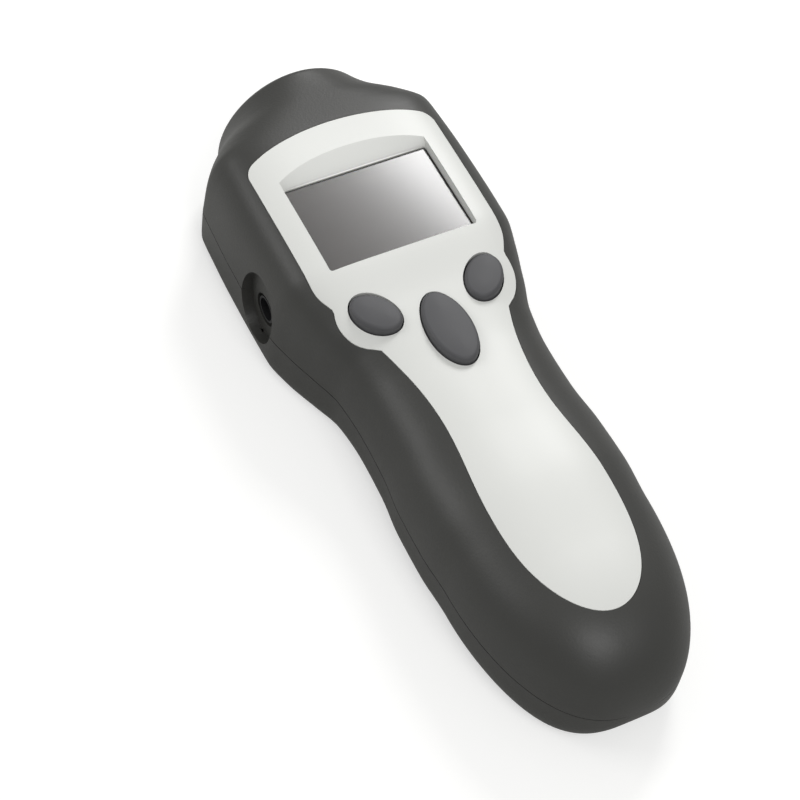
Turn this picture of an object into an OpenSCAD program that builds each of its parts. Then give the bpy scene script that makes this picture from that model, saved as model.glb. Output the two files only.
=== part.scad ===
// Handheld laser tachometer, lying on its back: X right, Y to the nose, Z up to the face.
// The origin is on the resting face, under the middle of the length.

/* [Case] */
// Height of the parting line between the two shells
part_z = 14.7; // [13.5:0.1:16]
// Wall of both shells
wall = 2.2; // [1.8:0.1:2.4]
// Rounding of the nose's front edge
nose_round = 1.8; // [1:0.1:2.5]
// Dark border of the head beside the face panel
case_border = 7.9; // [7.7:0.1:10]
// Room behind the hinge of the battery door, to the tail
tail_room = 26; // [24:0.1:32]
// Room between the display window and the front of the nose
nose_room = 35.85; // [35:0.05:42]
// Room between the battery tray and the roof of the grip
tray_room = 0.75; // [0.5:0.05:1.5]

/* [Face panel] */
// Thickness of the light face panel
panel_t = 1.3; // [1:0.1:1.4]
// Width of the panel beside the display window
panel_border = 6.2; // [5.8:0.1:8]
// Height of the panel's arched top above the display window
panel_top_border = 15.15; // [13:0.05:16]
// Gap between the tail and the panel's tip
panel_tip_gap = 17.8; // [15:0.1:22]
// Radius of the panel's arched top edge
panel_arch_r = 60; // [50:1:80]
// Radius of the panel's top corners
panel_corner_r = 4.5; // [3:0.1:6]

/* [Display] */
// Width of the display window
window_w = 40; // [36:0.5:42]
// Length of the display window along the body
window_l = 27.5; // [24:0.5:28.5]
// Thickness of the display window
window_t = 1.6; // [1.2:0.1:2]
// Depth of the window's outer face below the top of the head
window_drop = 2.6; // [2.4:0.1:2.9]

/* [Buttons] */
// Half length of the two side buttons
side_button_a = 6.9; // [6.5:0.1:8]
// Half width of the two side buttons
side_button_b = 4.8; // [4:0.05:5]
// Side buttons' distance from the middle line
side_button_x = 14.9; // [14:0.1:15.5]
// Side buttons' lead over the middle button
side_button_lead = 10.5; // [10:0.1:12]
// Angle of the side buttons' long axis from the width
side_button_turn = 52; // [45:1:75]
// Gap between the middles of the side buttons and the display window
window_gap = 14.65; // [14.2:0.05:18]
// Half length of the middle button
meas_button_a = 10.9; // [9.5:0.1:11]
// Half width of the middle button
meas_button_b = 5.8; // [4.8:0.1:6]
// Gap between the battery bay and the middle button
meas_button_gap = 8.5; // [7:0.1:9]
// Depth of the buttons' tops below the top of the head
button_drop = 1.7; // [0.9:0.1:2.2]
// Travel of each button
button_travel = 0.6; // [0.4:0.05:0.7]

/* [Batteries] */
// Radius of one AA cell
cell_r = 7.1; // [6.9:0.05:7.15]
// Length of one AA cell without its nub
cell_l = 49; // [48:0.1:49.4]
// What the battery door is wider than the cells
door_margin = 0.9; // [0.7:0.1:1.5]

/* [Power jack] */
// Radius of the jack's mouth
jack_bore_r = 3.1; // [2.8:0.05:3.2]
// Depth of the jack's recess below the widest part of the case
jack_recess_depth = 2.9; // [2.6:0.1:3.2]
// Radius of the jack's centre pin
jack_pin_r = 1.05; // [0.8:0.05:1.25]

/* [Optics] */
// Radius of the opening in the nose
nose_bore_r = 11.4; // [10:0.1:11.6]
// Height of the optical axis above the parting line
optic_rise = 3.8; // [3.3:0.1:4.8]
// Radius of the receiving lens
lens_r = 6.4; // [5.5:0.1:6.5]
// Radius of the laser module
laser_r = 3; // [2.5:0.1:3.2]

/* [Circuit board] */
// Depth of the circuit board's upper face below the window's outer face
board_drop = 10.3; // [10:0.1:10.8]
// Thickness of the circuit board
board_t = 1.6; // [1:0.1:1.7]

/* [Hidden] */

$fn = 48;
// Overrun of every cut past the face that it opens
cut = 1;
// Gap left round pieces that move
slide_gap = 0.35;
// Gap left round pieces that are laid or glued in
seat_gap = 0.15;

// The cells lie side by side in two layers, and the case is sized round them
door_t = wall;
cell_gap = 0.25;
cell_x = cell_r + cell_gap;
low_cell_z = door_t + cell_gap + cell_r;
high_cell_z = low_cell_z + 2 * cell_r + cell_gap;
tray_wall = 0.9;
tray_end = 1.2;
tray_top_z = high_cell_z + cell_r + cell_gap + tray_wall;
door_w = 2 * (cell_x + cell_r) + door_margin;
nub_l = 1.2;
spring_l = 2.4;
contact_t = 0.4;
hinge_room = 2.7;
bay_l = 2 * contact_t + spring_l + cell_l + nub_l;

// Height of the head: its roof over the grip clears the battery tray
grip_crown_share = 0.83;
head_h = part_z + (tray_top_z + tray_room + wall - part_z) / grip_crown_share;

// Width of the head: the window, the panel's border and the case's border
panel_half_w = window_w / 2 + panel_border;
half_w = panel_half_w + case_border;

// Length: the tail, the battery bay, the buttons, the window and the nose
meas_button_room = meas_button_gap + meas_button_a;
half_l = (tail_room + hinge_room + bay_l + meas_button_room + side_button_lead + window_gap
    + window_l + nose_room) / 2;
body_l = 2 * half_l;
hinge_y = tail_room - half_l;
bay_y0 = hinge_y + hinge_room;
bay_y1 = bay_y0 + bay_l;
meas_button_y = bay_y1 + meas_button_room;
side_button_y = meas_button_y + side_button_lead;
window_y0 = side_button_y + window_gap;
window_y = window_y0 + window_l / 2;
window_y1 = window_y0 + window_l;
panel_top_y = window_y1 + panel_top_border;
panel_tip_y = panel_tip_gap - half_l;

// Heights that follow the head, and the optical axis
window_z = head_h - window_drop;
button_top_z = head_h - button_drop;
board_z = window_z - board_drop;
optic_z = part_z + optic_rise;
block_depth = 23.6;
block_y0 = half_l - block_depth;

// Shares along the body run from 0 at the tail to 1 at the nose.
// Half width against the length, as shares of half the body's width
plan_shares = [
    [0, 0.795], [0.237, 0.795], [0.3, 0.815], [0.363, 0.808], [0.426, 0.771],
    [0.489, 0.76], [0.547, 0.78], [0.595, 0.861], [0.642, 0.947], [0.684, 0.997],
    [0.742, 1], [0.805, 0.996], [0.862, 0.983], [0.903, 0.968], [0.92, 0.906],
    [0.937, 0.821], [0.955, 0.739], [0.974, 0.669], [1, 0.598]
];
// Crown above the parting line, as shares of the head's
crown_shares = [
    [0, 0.85], [0.18, 0.855], [0.289, 0.885], [0.395, 0.84], [0.5, grip_crown_share],
    [0.595, 0.885], [0.679, 0.99], [0.75, 1], [0.837, 1], [1, 0.911]
];
// Roundness of the upper and the lower section: 1 is an ellipse and less is squarer
round_shares = [
    [0, 0.93], [0.1, 0.82], [0.289, 0.75], [0.395, 0.75], [0.5, 0.68], [0.55, 0.58],
    [0.59, 0.46], [0.68, 0.38], [0.885, 0.38], [0.93, 0.55], [0.96, 0.8], [1, 1]
];
belly_round_shares = [[0, 0.45], [0.5, 0.42], [0.66, 0.25], [0.9, 0.25], [1, 0.5]];
// How far the upper section's sides lean in at the crown
lean_shares = [[0, 0], [0.53, 0], [0.66, 0.07], [0.88, 0.07], [0.96, 0], [1, 0]];
// Extra depth of the belly curve, which the flat back cuts off
belly_extra = 0.5;
// Where the tail's rounding starts: plan, crown and belly
plan_tail_share = 0.237;
crown_tail_share = 0.184;
belly_tail_share = 0.132;

ring_steps = 20;
tail_rings = 11;
body_rings = 17;
flare_rings = 9;
flare_start_share = 0.855;
nose_steps = 3;
first_ring_angle = 1.5;

function slope(t, i) = (t[i + 1][1] - t[i][1]) / (t[i + 1][0] - t[i][0]);
function tangent(t, i) =
    i == 0 ? slope(t, 0)
    : i == len(t) - 1 ? slope(t, i - 1)
    : slope(t, i - 1) * slope(t, i) <= 0 ? 0
    : 2 * slope(t, i - 1) * slope(t, i) / (slope(t, i - 1) + slope(t, i));
function span(t, x, i = 0) = i >= len(t) - 2 || x < t[i + 1][0] ? i : span(t, x, i + 1);
// Smooth curve through a table of points, which never overshoots them
function curve(t, x) =
    let (i = span(t, x), w = t[i + 1][0] - t[i][0], u = (x - t[i][0]) / w, v = 1 - u)
    t[i][1] * v * v * (1 + 2 * u) + t[i + 1][1] * u * u * (3 - 2 * u)
    + w * u * v * (tangent(t, i) * v - tangent(t, i + 1) * u);

// Rounding of the tail: 1 on the body, falling to 0 at the very end
function tail(s, start, power, root) =
    s >= start ? 1 : pow(1 - pow((start - s) / start, power), root);
// Drawing in of the last millimetres before the nose's front face
function nose_draw(s) =
    let (u = max(0, 1 - (1 - s) * body_l / nose_round)) nose_round * (1 - sqrt(1 - u * u));

function plan_half(s, inset) =
    tail(s, plan_tail_share, 2, 0.4) * (half_w * curve(plan_shares, s) - inset) - nose_draw(s);
function crown(s, inset) =
    tail(s, crown_tail_share, 3, 0.6)
    * ((head_h - part_z) * curve(crown_shares, s) - inset) - nose_draw(s);
function belly(s, inset) =
    tail(s, belly_tail_share, 4, 0.5) * (part_z + belly_extra - inset) - nose_draw(s);
function station(s, inset) = (2 * s - 1) * (half_l - inset);
ring_shares = concat(
    [for (k = [0 : tail_rings - 1])
        let (a = first_ring_angle + k * (90 - first_ring_angle) / tail_rings)
        plan_tail_share * (1 - cos(a))],
    [for (k = [0 : body_rings - 1])
        plan_tail_share + k * (flare_start_share - plan_tail_share) / body_rings],
    [for (k = [0 : flare_rings - 1])
        flare_start_share + k * (1 - nose_round / body_l - flare_start_share) / flare_rings],
    [for (k = [0 : nose_steps]) 1 - nose_round / body_l * (1 - sin(90 * k / nose_steps))]
);

// One section: side 1 goes over the crown and side -1 under the belly
function section(s, inset, side, drop) =
    let (
        y = station(s, inset), w = plan_half(s, inset),
        h = side > 0 ? crown(s, inset) : belly(s, inset),
        e = curve(side > 0 ? round_shares : belly_round_shares, s),
        lean = side > 0 ? curve(lean_shares, s) : 0
    )
    concat(
        [for (k = [0 : ring_steps])
            let (a = 180 * k / ring_steps, c = cos(a), up = pow(sin(a), e), z = part_z + side * h * up)
            [side * w * sign(c) * pow(abs(c), e) * (1 - lean * up), y, side > 0 ? z : max(inset, z)]],
        drop > 0 ? [[-side * w, y, part_z - side * drop], [side * w, y, part_z - side * drop]] : []
    );

// Half of the case as a solid, sunk by inset, and run past the parting line by drop
module half_case(inset, side, drop = 0) {
    rings = [for (s = ring_shares) section(s, inset, side, drop)];
    n = len(rings[0]);
    last = (len(rings) - 1) * n;
    polyhedron(
        points = [for (ring = rings, p = ring) p],
        faces = concat(
            [[for (j = [n - 1 : -1 : 0]) j]],
            [[for (j = [0 : n - 1]) last + j]],
            [for (i = [0 : len(rings) - 2], j = [0 : n - 1])
                [i * n + j, i * n + (j + 1) % n, (i + 1) * n + j]],
            [for (i = [0 : len(rings) - 2], j = [0 : n - 1])
                [i * n + (j + 1) % n, (i + 1) * n + (j + 1) % n, (i + 1) * n + j]]
        )
    );
}

// Panel outline: a round tip, a swell, a waist, a flare up to the head, and the arched top.
// Half widths of the swell and the waist, as shares of the head's half width
panel_swell_share = 0.595;
panel_waist_share = 0.513;
panel_tip_l = 33.2;
panel_tip_power = 2.4;
panel_waist_l = 27.5;
panel_flare_gap = 4.55;
// Softness of the corner between the flare and the head's side
panel_soft = 0.7;
panel_swell_y = panel_tip_y + panel_tip_l;
panel_waist_y = panel_swell_y + panel_waist_l;
panel_flare_y = window_y0 - panel_flare_gap;
panel_shoulder_y = window_y0 + 2 * seat_gap;
panel_edge_steps = 28;
panel_arc_steps = 8;
arch_centre_y = panel_top_y - panel_arch_r;
corner_x = panel_half_w - panel_corner_r;
corner_y = arch_centre_y
    + sqrt(pow(panel_arch_r - panel_corner_r, 2) - corner_x * corner_x);
corner_end_angle = atan2(corner_y - arch_centre_y, corner_x);
lobe_margin = 3.6;

function soft_min(a, b, soft) = min(a, b) - soft * ln(1 + exp(-abs(a - b) / soft));

function panel_half(y) =
    let (
        swell = panel_half_w * panel_swell_share, waist = panel_half_w * panel_waist_share,
        tip = (panel_swell_y - y) / panel_tip_l,
        wave = 180 * (y - panel_swell_y) / panel_waist_l,
        rise = (y - panel_waist_y) / (panel_flare_y - panel_waist_y)
    )
    y < panel_swell_y ? swell * sqrt(max(0, 1 - pow(tip, panel_tip_power)))
    : y < panel_waist_y ? (swell + waist) / 2 + (swell - waist) / 2 * cos(wave)
    : soft_min(waist + (panel_half_w - waist) * rise * rise, panel_half_w, panel_soft);

module panel_outline(grow) {
    side = concat(
        [for (k = [0 : panel_edge_steps])
            let (a = 90 * k / panel_edge_steps,
                y = panel_tip_y + (panel_shoulder_y - panel_tip_y) * (1 - cos(a)))
            [panel_half(y) + grow, y - (k == 0 ? grow : 0)]],
        [for (k = [0 : panel_arc_steps])
            let (a = corner_end_angle * k / panel_arc_steps, r = panel_corner_r + grow)
            [corner_x + r * cos(a), corner_y + r * sin(a)]],
        [for (k = [1 : panel_arc_steps])
            let (a = corner_end_angle + (90 - corner_end_angle) * k / panel_arc_steps,
                r = panel_arch_r + grow)
            [r * cos(a), arch_centre_y + r * sin(a)]]
    );
    polygon(concat(side, [for (k = [len(side) - 2 : -1 : 0]) [-side[k][0], side[k][1]]]));
    for (m = [-1, 1])
        translate([m * side_button_x, side_button_y]) rotate(m * side_button_turn)
            scale([side_button_a + lobe_margin + grow, side_button_b + lobe_margin + grow])
                circle(r = 1);
}

module panel_block(grow) {
    translate([0, 0, part_z]) linear_extrude(head_h) panel_outline(grow);
}

// Display stack, from the window down to the board
bezel_margin = 4.5;
bezel_w = window_w + 2 * bezel_margin;
bezel_lip = 1.3;
bezel_lip_t = 0.8;
gasket_t = 0.3;
window_bottom_z = window_z - window_t;
lip_z = window_bottom_z - gasket_t;
bezel_bottom_z = lip_z - bezel_lip_t;
brow_rise = 7.2;
brow_r = 48;
brow_margin = 1.5;
well_l = window_l + bezel_margin + brow_rise + brow_margin;
well_y = window_y0 - bezel_margin + well_l / 2;
lcd_gap = 0.3;
lcd_t = 2.2;
lcd_margin = 1.5;
lcd_w = window_w + 2 * lcd_margin;
lcd_l = window_l + 2 * lcd_margin;
lcd_z = bezel_bottom_z - lcd_gap - lcd_t;
frame_wall = 1.2;
frame_ledge = 1.8;
zebra_t = 2;
zebra_inset = 1.2;

// A flat plate lying between two heights, centred on one place
module plate(w, l, z0, z1, x = 0, y = 0) {
    translate([x - w / 2, y - l / 2, z0]) cube([w, l, z1 - z0]);
}

// The brow above the window is cut back to the window's level, up to an arched edge
module brow_cut() {
    translate([0, 0, window_z]) linear_extrude(head_h) intersection() {
        translate([-window_w / 2 - bezel_lip, window_y + window_l / 2 - cut])
            square([window_w + 2 * bezel_lip, brow_rise + cut]);
        translate([0, window_y + window_l / 2 + brow_rise - brow_r]) circle(r = brow_r, $fn = 96);
    }
}

module face_panel() color("#e8e9e5") difference() {
    intersection() {
        panel_block(0);
        half_case(0, 1);
    }
    // The hollow leaves the display's bezel standing
    difference() {
        half_case(panel_t, 1, cut);
        plate(bezel_w, well_l, bezel_bottom_z, head_h, 0, well_y);
    }
    brow_cut();
    plate(window_w + 2 * seat_gap, window_l + 2 * seat_gap, lip_z, head_h + cut, 0, window_y);
    plate(window_w - 2 * bezel_lip, window_l - 2 * bezel_lip, part_z, head_h, 0, window_y);
    button_holes(part_z);
}

module display_window() color("#8d8a86")
    plate(window_w, window_l, window_bottom_z, window_z, 0, window_y);

module window_gasket() color("#1c1c1b") difference() {
    plate(window_w, window_l, lip_z, window_bottom_z, 0, window_y);
    plate(window_w - 2 * bezel_lip, window_l - 2 * bezel_lip,
        lip_z - cut, window_bottom_z + cut, 0, window_y);
}

module lcd_module() color("#9aa08f")
    plate(lcd_w, lcd_l, lcd_z, lcd_z + lcd_t, 0, window_y);

module lcd_frame() color("#f1f0ea") difference() {
    plate(lcd_w + 2 * frame_wall, lcd_l + 2 * frame_wall, board_z,
        lcd_z + lcd_t, 0, window_y);
    plate(lcd_w + 2 * seat_gap, lcd_l + 2 * seat_gap, lcd_z, head_h, 0, window_y);
    plate(lcd_w - 2 * frame_ledge, lcd_l - 2 * zebra_inset + seat_gap, board_z - cut,
        head_h, 0, window_y);
}

module zebra_strips() color("#c98f86")
    for (m = [-1, 1])
        plate(lcd_w - 2 * frame_ledge - 2 * seat_gap, zebra_t, board_z, lcd_z, 0,
            window_y + m * (lcd_l / 2 - zebra_inset - zebra_t / 2));

// Buttons: an oval cap with a wider flange under the shell, which bears on a plunger
button_flange = 0.9;
button_flange_t = 0.9;
button_flange_gap = 0.35;
cap_chamfer = 0.7;
switch_w = 6;
switch_h = 3.6;
plunger_r = 1.6;
plunger_rise = 0.9;
plunger_in = 0.6;
plunger_z = board_z + switch_h + plunger_rise;
oval_steps = 48;

module oval(a, b, h, top = 1) {
    linear_extrude(h, scale = top)
        polygon([for (k = [0 : oval_steps - 1])
            let (t = 360 * k / oval_steps) [a * cos(t), b * sin(t)]]);
}

module button_place(i) {
    place = [
        [-side_button_x, side_button_y, 180 - side_button_turn],
        [side_button_x, side_button_y, side_button_turn],
        [0, meas_button_y, 90]
    ][i];
    translate([place[0], place[1], 0]) rotate(place[2]) children();
}

function button_size(i) =
    i == 2 ? [meas_button_a, meas_button_b] : [side_button_a, side_button_b];

module button(i) {
    size = button_size(i);
    button_place(i) {
        translate([0, 0, plunger_z + button_flange_t])
            oval(size[0], size[1], button_top_z - cap_chamfer - plunger_z - button_flange_t);
        translate([0, 0, button_top_z - cap_chamfer])
            oval(size[0], size[1], cap_chamfer, 1 - cap_chamfer / size[1]);
        translate([0, 0, plunger_z])
            oval(size[0] + button_flange, size[1] + button_flange, button_flange_t);
    }
}

module button_holes(z) {
    for (i = [0 : 2])
        let (size = button_size(i))
        button_place(i) translate([0, 0, z])
            oval(size[0] + slide_gap, size[1] + slide_gap, head_h);
}

module flange_pockets() {
    for (i = [0 : 2])
        let (size = button_size(i), grow = button_flange + slide_gap)
        button_place(i) translate([0, 0, plunger_z - button_travel - cut])
            oval(size[0] + grow, size[1] + grow,
                button_flange_t + button_travel + cut + button_flange_gap);
}

module mem_button() color("#555557") button(0);
module mode_button() color("#555557") button(1);
module meas_button() color("#555557") button(2);

module plunger(i) {
    button_place(i) translate([0, 0, plunger_z - plunger_rise - plunger_in])
        cylinder(r = plunger_r, h = plunger_rise + plunger_in);
}

module mem_plunger() color("#2b2b2b") plunger(0);
module mode_plunger() color("#2b2b2b") plunger(1);
module meas_plunger() color("#2b2b2b") plunger(2);

switch_floor = 0.3;
module tact_switches() color("#b9bcc0")
    for (i = [0 : 2])
        button_place(i) difference() {
            plate(switch_w, switch_w, board_z, board_z + switch_h);
            translate([0, 0, plunger_z - plunger_rise - plunger_in - button_travel - switch_floor])
                cylinder(r = plunger_r + slide_gap, h = switch_h);
        }

// Circuit board: a wide part under the display and a neck between the buttons
board_case_gap = 5.8;
board_nose_gap = 8.6;
board_neck_gap = 18.3;
board_shoulder_rise = 2.65;
board_block_gap = 2.6;
board_tail_gap = 2.5;
board_neck_rise = 0.6;
board_wide_rise = 2.35;
board_half_w = half_w - board_case_gap;
board_nose_half_w = half_w - board_nose_gap;
board_neck_half_w = half_w - board_neck_gap;
board_shoulder_y = window_y1 + board_shoulder_rise;
board_top_y = block_y0 - board_block_gap;
board_tail_y = bay_y1 + board_tail_gap;
board_neck_y = meas_button_y + board_neck_rise;
board_wide_y = window_y0 + board_wide_rise;
post_r = 2.4;
post_hole_r = 1;
board_hole_r = 1.5;
post_case_gap = 8;
post_top_drop = 2.15;
post_tail_inset = 3.4;
post_tail_rise = 3;
board_post_top_x = half_w - post_case_gap;
board_post_top_y = window_y1 - post_top_drop;
board_post_tail_x = board_neck_half_w - post_tail_inset;
board_post_tail_y = board_tail_y + post_tail_rise;
board_posts = [
    [-board_post_top_x, board_post_top_y], [board_post_top_x, board_post_top_y],
    [-board_post_tail_x, board_post_tail_y], [board_post_tail_x, board_post_tail_y]
];
board_screw_l = 6;
board_screw_head_r = 2.2;
board_screw_head_h = 1.5;

module circuit_board() color("#2f6b3c") difference() {
    translate([0, 0, board_z - board_t]) linear_extrude(board_t) polygon([
        [-board_neck_half_w, board_tail_y], [board_neck_half_w, board_tail_y],
        [board_neck_half_w, board_neck_y], [board_half_w, board_wide_y],
        [board_half_w, board_shoulder_y], [board_nose_half_w, board_shoulder_y],
        [board_nose_half_w, board_top_y], [-board_nose_half_w, board_top_y],
        [-board_nose_half_w, board_shoulder_y], [-board_half_w, board_shoulder_y],
        [-board_half_w, board_wide_y], [-board_neck_half_w, board_neck_y]
    ]);
    for (p = board_posts)
        translate([p[0], p[1], board_z - board_t - cut]) cylinder(r = board_hole_r, h = board_t + 2 * cut);
}

// A pan-head screw whose head stands down from the height z
module screw(head_r, head_h, shank_r, shank_l, slot_w) {
    difference() {
        union() {
            translate([0, 0, -head_h]) cylinder(r = head_r, h = head_h);
            cylinder(r = shank_r, h = shank_l);
        }
        for (a = [0, 90])
            rotate(a) translate([-head_r / 2, -slot_w / 2, -head_h - cut])
                cube([head_r, slot_w, cut + head_h / 2]);
    }
}

slot_w = 0.7;
module board_screws() color("#c9ccd0")
    for (p = board_posts)
        translate([p[0], p[1], board_z - board_t])
            screw(board_screw_head_r, board_screw_head_h, post_hole_r, board_screw_l, slot_w);

chip_w = 12;
chip_h = 1.5;
chip_x = 3;
chip_back = 1.4;
chip_y = window_y - chip_back;
pin_w = 0.5;
pin_l = 1.2;
pin_t = 0.3;
pin_pitch = 1.2;
pins_a_side = 8;
module controller_chip() color("#26262a") {
    top = board_z - board_t;
    plate(chip_w, chip_w, top - chip_h, top, chip_x, chip_y);
    for (a = [0 : 90 : 270], k = [0 : pins_a_side - 1])
        translate([chip_x, chip_y, 0]) rotate(a)
            plate(pin_w, pin_l, top - pin_t, top,
                (k - (pins_a_side - 1) / 2) * pin_pitch, chip_w / 2 + pin_l / 2);
}

crystal_w = 11;
crystal_l = 4.6;
crystal_h = 3.4;
crystal_x = 4;
crystal_back = 3.65;
crystal_y = window_y0 - crystal_back;
module crystal_can() color("#c4c6c8") {
    top = board_z - board_t;
    plate(crystal_w - crystal_l, crystal_l, top - crystal_h, top, crystal_x, crystal_y);
    for (m = [-1, 1])
        translate([crystal_x + m * (crystal_w - crystal_l) / 2, crystal_y, top - crystal_h])
            cylinder(r = crystal_l / 2, h = crystal_h);
}

capacitor_r = 3.15;
capacitor_h = 7;
capacitor_gap = 2;
module capacitors() color("#3a3f59")
    for (m = [-1, 1])
        translate([m * (capacitor_r + capacitor_gap), side_button_y, board_z - board_t - capacitor_h])
            cylinder(r = capacitor_r, h = capacitor_h);

// Case screws run up through posts in the rear shell into bosses in the front shell
head_screw_inset = 4.9;
head_screw_rise = 6.85;
neck_screw_gap = 4;
neck_screw_rise = 4.4;
tail_screw_inset = 13;
head_screw_x = half_w - head_screw_inset;
head_screw_y = window_y1 + head_screw_rise;
neck_screw_x = board_neck_half_w + neck_screw_gap;
neck_screw_y = board_tail_y + neck_screw_rise;
tail_screw_y = tail_screw_inset - half_l;
case_screw_places = [
    [-head_screw_x, head_screw_y], [head_screw_x, head_screw_y],
    [-neck_screw_x, neck_screw_y], [neck_screw_x, neck_screw_y], [0, tail_screw_y]
];
case_screw_r = 1.3;
case_screw_l = 15;
case_screw_head_r = 2.6;
case_screw_head_h = 2;
case_screw_z = 5;
screw_post_r = 3.3;
rear_post_r = 4.3;
screw_bore_r = 2.8;
module case_screws() color("#8e9196")
    for (p = case_screw_places)
        translate([p[0], p[1], case_screw_z])
            screw(case_screw_head_r, case_screw_head_h, case_screw_r, case_screw_l, slot_w);

// Power jack, held between the shells in an oval recess of the left wall
jack_back = 3;
jack_y = window_y - jack_back;
jack_recess_x = half_w - jack_recess_depth;
jack_pad_w = 2;
jack_recess_half_l = 8;
jack_recess_half_h = 10.5;
jack_recess_rise = 1.8;
jack_recess_z = part_z + jack_recess_rise;
jack_nose_r = 3.7;
jack_nose_l = 1.8;
jack_body_w = 13;
jack_body_l = 9.4;
jack_body_h = 11;
jack_bore_l = 9.6;
jack_mouth_l = 3.3;
jack_step = 0.2;
jack_pin_start = 3.6;
jack_mouth_x = jack_recess_x - seat_gap;
jack_body_x = jack_recess_x - jack_pad_w - seat_gap;

module jack_recess() {
    translate([-jack_recess_x, jack_y, jack_recess_z]) rotate([0, -90, 0])
        oval(jack_recess_half_h, jack_recess_half_l, half_w);
}

module jack_hole() {
    translate([-half_w, jack_y, part_z]) rotate([0, 90, 0])
        cylinder(r = jack_nose_r + seat_gap, h = half_w - jack_body_x + cut);
}

module jack_pad(z0, z1) {
    plate(jack_pad_w + cut, 2 * jack_recess_half_l + jack_pad_w, z0, z1,
        -jack_recess_x + jack_pad_w / 2 - cut / 2, jack_y);
}

module dc_jack() color("#1d1d1f") difference() {
    union() {
        plate(jack_body_w, jack_body_l, part_z - jack_body_h / 2, part_z + jack_body_h / 2,
            -jack_body_x + jack_body_w / 2, jack_y);
        translate([-jack_mouth_x, jack_y, part_z]) rotate([0, 90, 0])
            cylinder(r = jack_nose_r, h = jack_nose_l + cut);
    }
    translate([-jack_mouth_x - cut, jack_y, part_z]) rotate([0, 90, 0]) {
        cylinder(r = jack_bore_r, h = jack_mouth_l + cut);
        cylinder(r = jack_bore_r - jack_step, h = jack_bore_l + cut);
    }
}

module jack_pin() color("#d4d6d8")
    translate([-jack_mouth_x + jack_pin_start, jack_y, part_z]) rotate([0, 90, 0])
        cylinder(r = jack_pin_r, h = jack_bore_l - jack_pin_start);

// A wire that follows straight runs with round elbows
module wire(route, r) {
    for (i = [0 : len(route) - 2]) {
        run = route[i + 1] - route[i];
        length = norm(run);
        translate(route[i]) rotate([0, acos(run[2] / length), atan2(run[1], run[0])])
            cylinder(r = r, h = length, $fn = 16);
        if (i > 0) translate(route[i]) sphere(r = r, $fn = 16);
    }
}

lead_r = 0.6;
lead_spread = 2.2;
lead_reach = 3;
module jack_leads() color("#a02622")
    for (m = [-1, 1]) {
        y = jack_y + m * lead_spread;
        back_x = -jack_body_x + jack_body_w;
        wire([
            [back_x, y, part_z], [back_x + lead_reach, y, part_z],
            [back_x + lead_reach, y, board_z - board_t]
        ], lead_r);
    }

// Optics in the nose
nose_window_lap = 1.2;
nose_window_r = nose_bore_r + nose_window_lap;
nose_window_t = 1.5;
nose_window_y = half_l - wall - seat_gap - nose_window_t;
block_flange_lap = 0.7;
block_flange_r = nose_window_r + block_flange_lap;
block_flange_t = 5;
block_w = 27;
block_h = 17;
block_front_y = nose_window_y - seat_gap;
lens_x = 5.2;
laser_x = -8.2;
lens_seat = 3.2;
lens_t = 2.8;
lens_dome_r = 14;
sensor_bore_r = 5.4;
laser_l = 17.4;
laser_set_back = 2.2;
laser_lens_r = 2.1;
laser_lens_t = 1.2;
laser_aperture_r = 1.2;

// Something round whose axis runs along the body from y0
module along(x, z, y0, r, l) {
    translate([x, y0, z]) rotate([-90, 0, 0]) cylinder(r = r, h = l);
}

module optics_block() color("#1e1e20") difference() {
    union() {
        along(0, optic_z, block_front_y - block_flange_t, block_flange_r, block_flange_t);
        plate(block_w, block_front_y - block_y0 - block_flange_t + cut,
            optic_z - block_h / 2, optic_z + block_h / 2, 0,
            (block_y0 + block_front_y - block_flange_t + cut) / 2);
    }
    along(lens_x, optic_z, block_front_y - lens_seat, lens_r + seat_gap, lens_seat + cut);
    along(lens_x, optic_z, block_y0 - cut, sensor_bore_r, half_l);
    along(laser_x, optic_z, block_y0 - cut, laser_r + seat_gap, half_l);
}

module laser_module() color("#c7a04a") difference() {
    along(laser_x, optic_z, block_front_y - laser_set_back - laser_l, laser_r, laser_l);
    along(laser_x, optic_z, block_front_y - laser_set_back - laser_lens_t - seat_gap,
        laser_lens_r + seat_gap, laser_l);
    along(laser_x, optic_z, block_front_y - laser_set_back - laser_l / 2, laser_aperture_r, laser_l);
}

module laser_lens() color("#d8e4ea")
    along(laser_x, optic_z, block_front_y - laser_set_back - laser_lens_t, laser_lens_r, laser_lens_t);

module receiver_lens() color("#d8e4ea") intersection() {
    along(lens_x, optic_z, block_front_y - lens_seat + seat_gap, lens_r, lens_t);
    translate([lens_x, block_front_y - lens_seat + seat_gap + lens_t - lens_dome_r, optic_z])
        sphere(r = lens_dome_r, $fn = 96);
}

sensor_board_w = 26;
sensor_board_h = 15.4;
sensor_board_t = 1.6;
sensor_board_drop = 8.5;
sensor_board_z0 = optic_z - sensor_board_drop;
sensor_board_y = block_y0 - seat_gap - sensor_board_t;
module sensor_board() color("#2f6b3c")
    plate(sensor_board_w, sensor_board_t, sensor_board_z0, sensor_board_z0 + sensor_board_h,
        0, sensor_board_y + sensor_board_t / 2);

sensor_can_r = 2.4;
sensor_rim_r = 2.9;
sensor_rim_t = 0.5;
sensor_can_l = 3.6;
module photo_sensor() color("#c9a95c") {
    y = sensor_board_y + sensor_board_t;
    along(lens_x, optic_z, y, sensor_rim_r, sensor_rim_t);
    along(lens_x, optic_z, y, sensor_can_r, sensor_can_l);
}

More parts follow.
